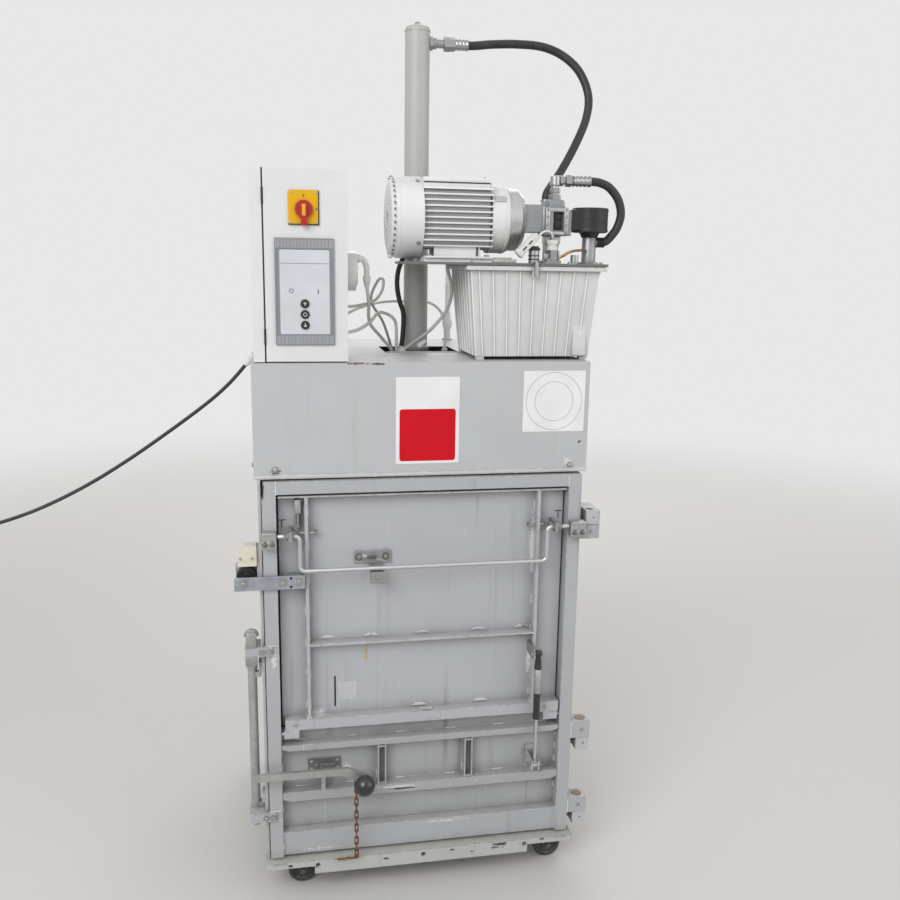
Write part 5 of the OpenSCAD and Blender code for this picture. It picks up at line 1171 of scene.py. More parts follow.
# The upright valve with its white cap, the black plug beside it and the slanted white plug
CAP_X, CAP_Y = 300, 70
BLACK_PLUG = (256, 68)
PLUG_X, PLUG_Z, PLUG_LEAN = 236, 1534, 44


def make_valve():
    """Plates, window and screws of the valve block beside the motor."""
    kit = Kit()
    for x in (289, 333):
        kit.block((x, 92.6, MOTOR_Z - 31), (x + 10, 97, MOTOR_Z + 28), edge=1.4)
    kit.block((298, 93.6, MOTOR_Z + 19), (334, 97, MOTOR_Z + 27), edge=1.2)
    kit.block((298, 93.6, MOTOR_Z - 33), (334, 97, MOTOR_Z - 26), edge=1.2)
    kit.block((284, 100, MOTOR_Z - 24), (292, 160, MOTOR_Z + 30), edge=1.5)
    kit.block((302, 104, MOTOR_Z + 26), (338, 156, MOTOR_Z + 44), edge=4)
    kit.turned((338, PUMP_Y, MOTOR_Z + 6), RIGHT, [(0, 18), (1.5, 20), (12, 20), (13, 17)], sides=32)
    kit.block((296, 112, MOTOR_Z - 52), (332, 148, MOTOR_Z - 33), edge=2.5)
    kit.block((288, 108, LID_TOP), (334, 152, 1503), edge=1.5)
    kit.turned((321, PUMP_Y, MOTOR_Z - 34), DOWN, [(0, 14), (3, 15), (26, 11), (28, 11), (45, 10)], sides=24)
    kit.done("valve_plates", "machine", valve_steel, "cast_aluminium")
    kit = Kit()
    kit.block((309, 105, MOTOR_Z - 22), (331, 107, MOTOR_Z + 18), edge=0.6)
    for low, high in ((-18, -2), (2, 14)):
        kit.block((313, 101, MOTOR_Z + low), (327, 106, MOTOR_Z + high), edge=1.2)
    kit.done("valve_window", "machine", satin_black, "black_plastic")
    fasten("valve_screws", "machine", spots((294, 338), 92.6, (MOTOR_Z - 27, MOTOR_Z + 24), FRONT)
           + spots((294, 338), 92.8, (MOTOR_Z - 10, MOTOR_Z + 8), FRONT), bright_steel, radius=2.7, height=2,
           corners=12, washer=1.2, washer_height=0.5)


def make_filter():
    """Rings on the return filter's cap, and the bright tube below it."""
    kit = Kit()
    for low, profile, sides in ((-25.5, [(0, 38), (1.5, 42.4), (6, 43), (8, 42.3)], 64),
                                (22, [(0, 42), (1, 43), (5, 43), (8.5, 40), (9, 0)], 64)):
        kit.turned((FILTER_X, PUMP_Y, MOTOR_Z + low), UP, profile, sides=sides)
    kit.ring((FILTER_X, PUMP_Y, MOTOR_Z + 1), (0.16, 0, 1), 42.2, 0.7, sides=72)
    kit.turned((FILTER_X, PUMP_Y, MOTOR_Z - 37), UP, [(0, 17), (2, 19.4), (6, 21), (13, 25)], sides=40)
    kit.block((352, 101, MOTOR_Z - 21), (390, 159, MOTOR_Z + 25), edge=4)
    kit.done("filter_cap_rings", "machine", satin_black, "black_plastic")
    kit = Kit()
    kit.turned((FILTER_X, PUMP_Y, LID_TOP), UP,
               [(0, 24), (4, 24), (5, 22), (5.2, 17), (8, 16.6), (60, 16.6), (61, 16)], sides=40)
    kit.done("filter_tube_skin", "machine", aluminium, "cast_aluminium")


def make_white_valve():
    """The upright valve with its toothed white cap."""
    kit = Kit()
    kit.turned((CAP_X, CAP_Y, 1524), UP, [(0, 11), (1, 12.6), (9, 12.6), (10, 10.6), (13, 10.6), (14, 12), (22, 12),
                                          (24, 9.5), (24.5, 0)], sides=24)
    teeth, tooth_reach, half_tooth = 6, 11, 2
    for k in range(teeth):
        a = math.radians(360 / teeth * k)
        x, y = CAP_X + tooth_reach * math.cos(a), CAP_Y + tooth_reach * math.sin(a)
        kit.block((x - half_tooth, y - half_tooth, 1538), (x + half_tooth, y + half_tooth, 1547), edge=0.8)
    kit.done("white_valve_cap", "machine", white_moulding, "cream_plastic")
    kit = Kit()
    kit.nut((CAP_X, CAP_Y, 1503), UP, 30, 8)
    for z in (1513, 1518.5):
        kit.ring((CAP_X, CAP_Y, z), UP, 11.6, 1.1, sides=32)
    kit.nut((CAP_X, CAP_Y, 1548), UP, 14, 5)
    kit.block((282, 64, 1500), (289, 76, 1517), edge=1.4)
    kit.block((311, 62, 1500), (317, 74, 1523), edge=1.4)
    kit.done("valve_cap_bands", "machine", bright_steel, "zinc_plated")
    fasten("valve_foot_bolts", "machine", spots((288, 312), (58, 82), 1500.2, UP), radius=3.2, height=3)


def make_plugs():
    """The slanted white plug, the black plug beside it, the tan pipe and the plug's wire."""
    lean = math.radians(PLUG_LEAN)

    def along_plug(place):
        return PLUG_X + place * math.sin(lean), PLUG_Z + place * math.cos(lean)

    kit = Kit()
    kit.block((PLUG_X - 9, 50, PLUG_Z - 30), (PLUG_X + 9, 66, PLUG_Z + 30), edge=2.2, tilt=PLUG_LEAN, about="Y")
    for place, half in ((-24, 11), (26, 7)):
        x, z = along_plug(place)
        kit.block((x - half, 49, z - 5), (x + half, 67, z + 5), edge=2.0, tilt=PLUG_LEAN, about="Y")
    kit.done("slanted_plug", "machine", white_moulding, "cream_plastic")
    kit = Kit()
    for place in (-9, 10):
        x, z = along_plug(place)
        kit.block((x - 1.6, 49.4, z - 6), (x + 1.6, 50.6, z + 6), edge=0.3, tilt=PLUG_LEAN, about="Y")
    kit.turned((*BLACK_PLUG, 1523.2), UP, [(0, 12.5), (1, 14), (6, 14), (7, 11), (10, 11), (10.5, 0)], sides=28)
    for z in (1504, 1512):
        kit.ring((*BLACK_PLUG, z), UP, 12.3, 1.2, sides=28)
    kit.done("black_plug", "machine", satin_black, "black_plastic")
    pipe_route = [(312, 66, 1509), (322, 62, 1512), (334, 64, 1519), (350, 74, 1524), (368, 92, 1526),
                  (384, 108, 1527), (393, 116, 1527)]
    settle(tube("tan_pipe", [at(*p) for p in pipe_route], 3 * MM, brass, sides=12), "machine")
    lay_cord("plug_wire", PLUG_WIRE_ROUTE, 2.6, white_cable, sides=12)


# ---------------------------------------------------------------- oil tank
TANK_X, TANK_Y = 254, 150
TANK_HALF_WIDTH, TANK_HALF_DEPTH = 154.5, 120


def make_tank_details():
    """The lid's seal and screws, and the fold round the tank's rim."""
    left, right = TANK_X - TANK_HALF_WIDTH, TANK_X + TANK_HALF_WIDTH
    front, back = TANK_Y - TANK_HALF_DEPTH, TANK_Y + TANK_HALF_DEPTH
    kit = Kit()
    for x0, y0, x1, y1 in ((left - 5, front - 6, right + 5, front + 4), (left - 5, back - 4, right + 5, back + 6),
                           (left - 5, front, left + 5, back), (right - 5, front, right + 5, back)):
        kit.block((x0, y0, 1487.8), (x1, y1, 1489.4), edge=0.3)
    kit.done("lid_seal", "machine", black_gap, "black_plastic")
    fasten("lid_screws", "machine", spots((105, 180, 330, 404), (31, 268), 1495.2, UP)
           + spots(408, (90, 150, 210), 1495.2, UP), radius=4, height=3)
    kit = Kit()
    for x0, y0, x1, y1 in ((left - 8.6, front - 9, right + 8.6, front - 2),
                           (left - 8.6, back + 2, right + 8.6, back + 9),
                           (left - 8.6, front - 2, left - 2, back + 2),
                           (right + 2, front - 2, right + 8.6, back + 2)):
        kit.block((x0, y0, 1478.5), (x1, y1, 1484.4), edge=1.6)
    kit.block((347, 39, 1287), (379, 46, 1362), edge=2.4, tilt=-4.5)
    kit.block((242, 22, 1462), (254, 31, 1480), edge=2)
    kit.done("tank_rim_fold", "machine", tank_moulding, "tank_plastic")


def make_tank_ridge_highlights():
    """Pale rods along the crests of the tank's ridges and corners, which taper downward with it: a painted highlight
    where the ridges catch the light.
    """
    low, high = (0.885, 1286.5), (0.9965, 1477.5)
    kit = Kit()

    def crest(x, y):
        kit.rod(*[(TANK_X + x * scale, TANK_Y + y * scale, z) for scale, z in (low, high)], 1.5, 10)

    for k in range(9):
        crest(-148.5 + 285 / 9 * (k + 0.5), -119.6)
        crest(136.5 - 285 / 9 * (k + 0.5), 119.6)
    for k in range(7):
        crest(154.1, -112 + 32 * (k + 0.5))
        crest(-154.1, 112 - 32 * (k + 0.5))
    for x, y in ((-150.5, -116.5), (150.5, -116.5), (150.5, 116.5), (-150.5, 116.5)):
        crest(x, y)
    kit.done("tank_ridge_highlight_crests", "machine", ridge_highlight_white, "tank_plastic")


# ---------------------------------------------------------------- socket and conduit
CONDUIT_X, CONDUIT_Y = 156, 606
SOCKET_Y, SOCKET_Z = 100, 1471


def make_conduit():
    """The white conduit behind the tank, and the pale connector in the housing's opening."""
    kit = Kit()
    kit.turned((CONDUIT_X, CONDUIT_Y, 1277.6), UP,
               [(0, 14), (1, 15), (4, 15), (5, 14), (5, 9), (30, 9), (36, 12.4), (46, 14.2), (56, 12.8), (62, 9.6),
                (66, 8.6), (78, 8.6), (80, 7), (236, 7), (240, 5)], sides=28)
    kit.ring((CONDUIT_X, CONDUIT_Y, 1430), UP, 7, 1.6, sides=24)
    kit.turned((19, 250, 1289), (0.72, -0.2, 0.66), [(0, 6), (2, 8), (12, 8), (14, 6.5), (22, 6.5), (24, 5)],
               sides=20)
    kit.done("white_conduit", "machine", white_moulding, "cream_plastic")


def make_socket():
    """The cabinet's round socket, and the elbow in which its cable leaves."""
    kit = Kit()
    kit.turned((-152, SOCKET_Y, SOCKET_Z), RIGHT,
               [(0, 41.5), (0.8, 42.6), (4.2, 42.6), (5, 41.4), (5.2, 30), (8, 28), (9, 0)], sides=56)
    kit.ring((-151.5, SOCKET_Y, SOCKET_Z), RIGHT, 38.4, 0.8, sides=56)
    kit.block((-151, 84, 1440), (-143, 116, 1486), edge=3)
    kit.turned((-150, 110, 1500), RIGHT, [(0, 10), (2, 11), (14, 9), (16, 7), (20, 5)], sides=24)
    kit.done("socket_cap", "machine", socket_grey, "cream_plastic")
    bend = [at(-147, 110, 1500), at(-130, 112, 1498), at(-121.5, 117, 1482), at(-120, 124, 1458)]
    settle(tube("socket_elbow", bend, 6.6 * MM, white_moulding, sides=20, steps=6), "machine")
    kit = Kit()
    kit.turned((-120, 123, 1461), (0.03, 0.24, -1), [(0, 7.4), (1, 8.8), (12, 8.8), (13, 7.6), (20, 6.6), (26, 5)],
               sides=10)
    kit.done("socket_elbow_nut", "machine", white_moulding, "cream_plastic")


# ---------------------------------------------------------------- cabinet
PANEL_X = -263
KEYPAD_Z = 1427
SWITCH_Z = 1598
BUTTON_Z = {"up_button": 1403, "stop_button": 1380.5, "down_button": 1358}
# The bars of each button's sign as (x, z, x, z) round its middle; the stop button has a ring instead
BUTTON_SIGNS = {"up_button": ((-0.9, -4, 0.9, 3), (-3.2, 0.5, 3.2, 2.0), (-1.9, 2.0, 1.9, 3.4)), "stop_button": (),
                "down_button": ((-0.9, -3, 0.9, 4), (-3.2, -2.0, 3.2, -0.5), (-1.9, -3.4, 1.9, -2.0))}


def make_keypad():
    """The keypad's label and frame, its two rows of ribs and the signs on its buttons."""
    kit = Kit()
    kit.plate(rounded_outline(104, 176, 3), [(0, z - KEYPAD_Z, 9.4) for z in BUTTON_Z.values()],
              (PANEL_X, -6.0, KEYPAD_Z), RIGHT, UP, 0.5)
    kit.done("keypad_label", "cabinet_front", label_film, "keypad_plastic")
    kit = Kit()
    kit.block((PANEL_X - 51.4, -6.7, 1486.4), (PANEL_X + 51.4, -6.4, 1487.2), edge=0.1)
    kit.block((PANEL_X + 27, -6.75, 1424), (PANEL_X + 29, -6.4, 1434), edge=0.1)
    kit.ring((PANEL_X - 28, -6.5, 1430), FRONT, 4, 0.6, sides=28)
    kit.done("keypad_marks", "cabinet_front", satin_black, "keypad_plastic")
    kit = Kit()
    for z in BUTTON_Z.values():
        kit.ring((PANEL_X, -6.5, z), FRONT, 11.6, 0.8, sides=36)
    kit.done("button_rings", "cabinet_front", white_moulding, "keypad_plastic")
    bars("keypad_ribs", "cabinet_front",
         spots([PANEL_X - 58 + 2.9 * k for k in range(41)], -7.1, (KEYPAD_Z + 100.5, KEYPAD_Z - 100), FRONT),
         rib_grey, (1.4, 2.4, 18))
    kit = Kit()
    for x0, z0, x1, z1 in ((-62, 1316, -58.6, 1539), (58.6, 1316, 62, 1539), (-60, 1535.6, 60, 1539),
                           (-60, 1316, 60, 1319.4)):
        kit.block((PANEL_X + x0, -8.4, z0), (PANEL_X + x1, -6.8, z1), edge=0.7)
    kit.done("keypad_bezel", "cabinet_front", keypad_grey, "keypad_plastic")
    for button, z in BUTTON_Z.items():
        kit = Kit()
        for x0, z0, x1, z1 in BUTTON_SIGNS[button]:
            kit.block((PANEL_X + x0, -9.3, z + z0), (PANEL_X + x1, -8.8, z + z1), edge=0.1)
        if not BUTTON_SIGNS[button]:
            kit.ring((PANEL_X, -9.0, z), FRONT, 3.6, 0.7, sides=24)
        kit.done(button + "_symbol", button, white_moulding, "black_plastic")


def make_switch():
    """The marks, a painted shadow along the plate's bottom and right side, and the screws round the main switch."""
    Kit().block((PANEL_X - 3.6, -22.0, 1584), (PANEL_X + 3.6, -21.0, 1607), edge=0.3).done(
        "switch_handle_inlay", "main_switch", yellow, "switch_yellow")
    # black strips along the yellow plate's bottom and right side: the plate's shadow, painted
    kit = Kit()
    kit.block((PANEL_X - 32, -7.6, 1565.5), (PANEL_X + 32, -6.6, 1568), edge=0.3)
    kit.block((PANEL_X + 29.8, -7.6, 1566), (PANEL_X + 32, -6.6, 1636), edge=0.3)
    kit.done("switch_plate_shadow_strips", "cabinet_front", satin_black, "black_plastic")
    bars("switch_marks", "cabinet_front",
         [(PANEL_X + 27 * math.cos(a), -7.2, SWITCH_Z + 27 * math.sin(a), FRONT) for a in (math.pi / 2, 0.0)],
         satin_black, (1.4, 0.6, 6))
    fasten("switch_screws", "cabinet_front", spots((PANEL_X - 26, PANEL_X + 26), -7, (1571, 1631), FRONT), radius=2,
           height=0.8, corners=14, washer=1.1, washer_height=0.2)


def make_cabinet_trim():
    """A black strip that paints the shade in the groove beside the cabinet's door, its hinge barrels in the same
    black, and the plugs and screws on its other sides.
    """
    # black strip in the door's groove: painted shade in the gap; the hinge barrels below are black to match it
    Kit().block((-349.6, -3.2, 1280), (-345.4, 0, 1679), edge=0.4).done(
        "cabinet_groove_shade_strip", "machine", black_gap, "black_plastic")
    kit = Kit()
    for z in (1316, 1606):
        kit.rod((-347.5, -4.6, z), (-347.5, -4.6, z + 34), 2.2, 14)
    kit.done("cabinet_hinge_barrels", "machine", black_gap, "zinc_plated")
    kit = Kit()
    for z in (1610, 1330):
        kit.turned((-172, 30, z), RIGHT, [(0, 9), (1.5, 9), (2.5, 7.5), (3, 0)], sides=24)
    kit.block((-375, 60, 1330), (-372.4, 130, 1331.5), edge=0.3)
    kit.done("cabinet_side_plugs", "machine", powder_white, "cabinet_paint")
    fasten("cabinet_back_screws", "machine", spots((-358, -187), 165, (1294, 1479, 1665), BACK), radius=4, height=2.2,
           corners=16, washer=1.4)


# ---------------------------------------------------------------- housing and cylinder
SIGN_X = 4
PLATE_X, PLATE_Z = 296, 1187


def front_plate(name, body, outline, place, thickness, material, slot):
    """A thin rounded plate that faces the front; outline is its width, height and corner radius."""
    Kit().plate(rounded_outline(*outline), [], place, RIGHT, UP, thickness).done(name, body, material, slot)


def make_housing_details():
    """The bare signs on the housing, its folded lip and screws, and what lines its top opening."""
    front_plate("bare_sign_plate", "machine", (144, 196, 4), (SIGN_X, -0.2, 1147), 0.7, sign_white, "cabinet_paint")
    front_plate("red_sign_field", "machine", (127, 118, 6), (SIGN_X, -0.8, 1114), 0.35, sign_red, "switch_red")
    front_plate("pale_square_plate", "machine", (146, 140, 3), (PLATE_X, -0.2, PLATE_Z), 0.6, sign_white,
                "cabinet_paint")
    kit = Kit()
    for radius in (66, 45):
        kit.ring((PLATE_X, -0.75, PLATE_Z), FRONT, radius, 0.6, sides=72)
    kit.done("plate_rings", "machine", ring_grey, "cable_grey")
    kit = Kit()
    for x0, y0, x1, y1, edge in ((-379.6, -1.4, 379.6, 1.0, 0.9), (-380.8, 0, -379.4, 640, 0.6),
                                 (379.4, 0, 380.8, 640, 0.6)):
        kit.block((x0, y0, 1021), (x1, y1, 1030.5), edge=edge)
    kit.done("housing_folded_lip", "machine", lip_paint, "body_paint")
    fasten("housing_screws", "machine", [(-333, -0.2, 1042, FRONT), (340, -0.2, 1037, FRONT)]
           + spots(-380.6, (60, 320, 580), 1042, LEFT) + spots(380.6, (60, 320, 580), 1042, RIGHT)
           + spots((-340, 0, 340), 640.4, (1042, 1262), BACK), radius=5, height=3, corners=18, washer=1.5)
    kit = Kit()
    kit.block((-58, 232.4, 1270), (114, 234.4, 1279.5), edge=0.5)
    kit.block((-66, 228, 1276.6), (122, 232, 1279), edge=0.8)
    kit.done("top_opening_edge", "machine", housing_paint, "body_paint")
    slanted = (0.25, -0.15, 1)
    kit = Kit()
    kit.turned((-22, 262, 1262), slanted, [(0, 8), (3, 9), (14, 9), (16, 7), (24, 6.5), (26, 5)], sides=20)
    kit.nut((-20, 261, 1272), slanted, 24, 8)
    kit.turned((-20, 292, 1266), UP, [(0, 10), (4, 11), (14, 11), (16, 8), (22, 7)], sides=20)
    kit.turned((98, 322, 1268), UP, [(0, 7), (8, 8), (12, 5)], sides=18)
    kit.done("cable_glands", "machine", white_moulding, "cream_plastic")


def make_cylinder_details():
    """The cylinder's rings and cap, the screw on top and the fitting for the pressure hose."""
    kit = Kit()
    for z, profile, sides in ((2030, [(0, 30.1), (0.6, 31.2), (3, 31.2), (4, 30.2), (5, 30.1)], 56),
                              (2041.5, [(0, 22), (3, 17), (5.5, 9), (6.4, 0)], 40),
                              (1277, [(0, 33), (2, 34), (8, 34), (10, 31), (10.2, 30)], 56)):
        kit.turned((MAST_X, MAST_Y, z), UP, profile, sides=sides)
    kit.done("cylinder_rings", "machine", mast_paint, "cylinder_paint")
    kit = Kit()
    kit.nut((MAST_X, MAST_Y, 2047), UP, 14, 5)
    kit.turned((MAST_X, MAST_Y, 2051.4), UP, [(0, 2.4), (3, 2.4), (4, 1.4), (4.2, 0)], sides=14)
    kit.nut((49, MAST_Y, HOSE_PORT_Z), RIGHT, 33, 9)
    kit.turned((58, MAST_Y, HOSE_PORT_Z), RIGHT, [(0, 12), (1, 13), (8, 13), (9, 11)], sides=24)
    kit.done("cylinder_port_fitting", "machine", bright_steel, "zinc_plated")


# ---------------------------------------------------------------- door
HINGE_X = 396
STRIKE_X, STRIKE_Z = -234, 316


def make_door_fastenings():
    """Screws, keeper edges, strike plate and hinge rings of the door."""
    fasten("keeper_screws", "door", spots((-359, -343, 347, 366), -36.3, 883, FRONT), strike_steel, radius=4.6,
           height=3, corners=16, washer=1.3)
    fasten("strike_plate_screws", "door",
           spots((STRIKE_X - 31, STRIKE_X + 31), 15, (STRIKE_Z - 10, STRIKE_Z + 10), FRONT), radius=3.4, height=2.4,
           corners=16, washer=1.3)
    kit = Kit()
    kit.plate(rounded_outline(76, 34, 4), [(-20, 0, 3), (20, 0, 3)], (STRIKE_X, 15.2, STRIKE_Z), RIGHT, UP, 0.8)
    kit.block((-244, 2, 306), (-216, 5, 320), edge=1)
    kit.done("strike_plate_face", "door", strike_steel, "zinc_plated")
    kit = Kit()
    for x0, x1 in ((-366, -334), (338, 375)):
        kit.block((x0, -36.4, 871), (x1, -33.6, 889), edge=1.6)
        kit.block((x0 + 1, -36, 902), (x1 - 1, -12.4, 908), edge=1.8)
    kit.done("keeper_casting_edges", "door", keeper_steel, "zinc_plated")
    fasten("bearing_screws", "door", spots((-372, -356), -20.3, (209, 625), FRONT), radius=4, height=3)
    fasten("hinge_block_screws", "door", spots(HINGE_X, -12.4, (876, 368, 163), FRONT), radius=3, height=2,
           corners=14, washer=1.2)
    kit = Kit()
    for z in (892.2, 390.2, 183.2):
        kit.turned((HINGE_X, 8, z - 0.4), UP, [(0, 13), (0.6, 13.4), (1.4, 12.6), (1.5, 10.4)], sides=28)
    kit.done("hinge_rust_rings", "door", pin_steel, "worn_steel")
    kit = Kit()
    for x in (-109, 102):
        for z in (268, 364):
            kit.block((x - 1, -6.4, z - 4), (x + 22, -4, z + 1), edge=0.8)
    kit.done("channel_end_plates", "door", panel_paint, "body_paint")


def make_bearing_hood():
    """The folded plate that stands before the top of the lock's tube."""
    kit = Kit()
    kit.block((-409, -20, 592), (-383, -13, 618), edge=2)
    kit.block((-407.5, -18, 616), (-384, -12, 672), edge=4.5, tilt=3, about="Y")
    kit.block((-405, -17, 664), (-386, -12, 680), edge=5, tilt=3, about="Y")
    kit.rod((-409.6, -13, 619), (-382.6, -13, 619), 2.2, 14)
    kit.done("bearing_hood", "door", zinc, "zinc_plated")


# ---------------------------------------------------------------- weld beads
def seams(xs, ys, zs, run):
    """Weld lines that start at every place of the given values and go as far as the run."""
    return [((x, y, z), (x + run[0], y + run[1], z + run[2])) for x, y, z, _ in spots(xs, ys, zs, None)]


def make_door_welds():
    """Beads on the door's frame, ribs, hinge blocks and bearings."""
    lines = []
    for x in (-333.5, 337):
        lines += seams(x, -11.6, 988.5, (0, 0, 27.5)) + seams(x, -5.4, 100, (0, 0, 57))
        lines += seams(x, 17.6, [200 + 36 * k for k in range(6)], (0, 0, 14))
    lines += seams((-109, -88, 102, 123), 17.6, (268, 346), (0, 0, 20))
    for z in (240, 264, 369, 385):
        lines += seams((-300, -180, -60, 60, 180, 290), 17.4, z, (22, 0, 0))
    for z, height in ((862, 28), (349, 39), (145, 36)):
        lines += seams(368.4, -11.8, z, (0, 0, height))
    lines += seams(-364, -12.4, (198, 220, 614, 636), (24, 0, 0))
    weld("door_welds", "door", lines, weld_paint, "body_paint", radius=2.1)


def make_flap_welds():
    """Beads on the flap's ribs and rail."""
    lines = []
    for x in (-272, -264, 264, 272):
        lines += seams(x, 17.4, [462 + 78 * k for k in range(7)], (0, 0, 20))
        lines += seams(x, -7.2, (448.6, 980), (0, 15.2, 0))
    for x in (-238, -137, -18, 120, 226):
        lines += seams(x, 17, 637.5, (30, 0, 0)) + seams(x + 6, 16.4, 640.5, (18, 0, 0))
        lines += seams(x, 17.4, 626, (18, 0, 0))
    for x in (-22, 128):
        lines += seams(x, 16, 453, (30, 0, 0)) + seams(x + 5, 17, 456, (20, 0, 0))
    lines += seams((-262, 262), -7, 629, (0, 21, 0))
    weld("flap_welds", "flap", lines, weld_paint, "body_paint", radius=2.4)


def make_body_welds():
    """Beads on the walls, the back's rails and the front rail."""
    lines = seams(373.4, 26, (858, 826, 346, 312, 142, 108), (0, 38, 0))
    lines += seams((-373.2, 373.2), [200 + 90 * k for k in range(5)], 92.4, (0, 30, 0))
    lines += seams([-330 + 110 * k for k in range(7)], 640.2, (92.6, 408, 714.6), (30, 0, 0))
    weld("body_welds", "machine", lines, frame_paint, "body_paint", radius=2.3)
    weld("base_welds", "machine", seams((-360, 330), -30.4, 91, (30, 0, 0)), base_paint, "body_paint", radius=2.2)


# ---------------------------------------------------------------- flap
GRIP_Y, GRIP_Z = -26, 897
LUG_Y, LUG_Z = 2, 896
SPRING_X, SPRING_Y = -286, 8
CATCH_BOLTS_X = (-150, -88)


def make_grip_details():
    """Nuts on the grip bar's ends, and the bolts of the flap's two lugs."""
    kit = Kit()
    for s in (-1, 1):
        kit.rod((s * 309, GRIP_Y, GRIP_Z), (s * 312, GRIP_Y, GRIP_Z), 9, 22)
        kit.nut((s * 312, GRIP_Y, GRIP_Z), (s, 0, 0), 15, 7)
        kit.nut((s * 299.6, GRIP_Y, GRIP_Z), (-s, 0, 0), 15, 5)
    kit.done("grip_nuts", "grip", bright_steel, "worn_steel")
    kit = Kit()
    for s in (-1, 1):
        for x, outward in ((283, s), (250, -s)):
            kit.nut((s * x, LUG_Y, LUG_Z), (outward, 0, 0), 13, 6)
        kit.rod((s * 286, LUG_Y, LUG_Z), (s * 244, LUG_Y, LUG_Z), 3.4, 16)
        kit.rod((s * 294, LUG_Y, LUG_Z), (s * 302, LUG_Y, LUG_Z), 5.4, 18)
    kit.done("lug_bolts", "flap", bright_steel, "zinc_plated")


def make_lug_spring():
    """The small coil spring beside the left lug, its holder and the slots above."""
    coil_radius, rise, turn_step, points = 4.6, 0.52, 0.5, 110
    turns = [(SPRING_X + coil_radius * math.cos(a), SPRING_Y + coil_radius * math.sin(a), 912 + rise * a)
             for a in (turn_step * k for k in range(points))]
    coil = tube("lug_spring", [at(*p) for p in turns], 0.9 * MM, bright_steel, sides=8, steps=1)
    settle(coil, "flap")
    kit = Kit()
    kit.block((-293, 2, 940), (-279, 17.6, 972), edge=1.6)
    kit.block((-290, 6, 905), (-282, 17.6, 913), edge=1.2)
    kit.block((-284, 8, 968), (-274, 17.6, 984), edge=1.2)
    kit.rod((SPRING_X, SPRING_Y, 908), (SPRING_X, SPRING_Y, 944), 3, 16)
    kit.done("lug_spring_holder", "flap", keeper_steel, "zinc_plated")
    kit = Kit()
    for x in (-322, 322):
        kit.block((x - 9, 17.4, 922), (x + 9, 18.2, 924), edge=0.2)
        kit.block((x - 1, 17.4, 905), (x + 1, 18.2, 923), edge=0.2)
    kit.done("lug_slots", "flap", black_gap, "black_plastic")


def make_catch():
    """Bolts and trim of the catch plate on the flap, with dark steel rings under its two bolts and a dark plate
    between them.
    """
    fasten("catch_bolts", "flap", spots(CATCH_BOLTS_X, 15, 829, FRONT) + [(-112, -35, 797, FRONT)], bright_steel,
           radius=5.4, height=4, washer=1.3)
    kit = Kit()
    for x0, x1 in ((-158, -142), (-122, -112), (-96, -80)):
        kit.block((x0, 12.6, 838), (x1, 15.4, 845), edge=0.8)
    kit.block((-131, -36.6, 784), (-93, -34, 790), edge=0.8)
    kit.block((-160, 13.6, 815), (-75, 15.6, 818), edge=0.6)
    kit.done("catch_trim", "flap", bright_steel, "zinc_plated")
    # dark steel rings and a dark plate that make the dark surround seen round the catch bolts
    kit = Kit()
    for x in CATCH_BOLTS_X:
        kit.turned((x, 15.2, 829), FRONT, [(0, 7.6), (0.5, 8.6), (1, 8.4), (1.2, 7.6)], sides=24)
    kit.block((-131, 14.2, 824), (-109, 15.3, 833), edge=0.4)
    kit.done("catch_bolt_dark_rings", "flap", strike_steel, "zinc_plated")


def make_flap_details():
    """The flap's bare label, its slot, what sits on its rail and the safety bar's bolts and holes."""
    front_plate("bare_flap_label", "flap", (46, 46, 3), (-178, 17.8, 501), 0.4, flap_label_film, "keypad_plastic")
    Kit().block((-209, 17.5, 463), (-205, 18.4, 539), edge=0.3).done("flap_slot", "flap", black_gap, "black_plastic")
    kit = Kit()
    kit.block((10, -10.2, 424), (42, -7.4, 446), edge=1.0)
    kit.block((-6, -10.6, 452), (20, -8, 458), edge=0.8)
    kit.done("flap_rail_block", "flap", flap_paint, "body_paint")
    fasten("safety_bar_bolts", "flap", spots((-408, -321, -287), -20, 789, FRONT), radius=6.2, height=4.5, washer=1.5,
           washer_height=1.6)
    kit = Kit()
    for x, z in ((-304, 798), (-304, 778), (-296, 789)):
        kit.turned((x, -19.9, z), FRONT, [(0, 3.2), (0.3, 3.2), (0.4, 0)], sides=18)
    kit.done("safety_bar_holes", "flap", black_gap, "black_plastic")
    fasten("flap_rail_rivets", "flap", spots((-300, 300), -9.6, 436, FRONT), radius=3.6, height=2, corners=16,
           washer=1.2)


# ---------------------------------------------------------------- gas spring
GAS_X, GAS_Y = 271, -35
GAS_UPPER_Z, GAS_LOWER_Z = 588, 300


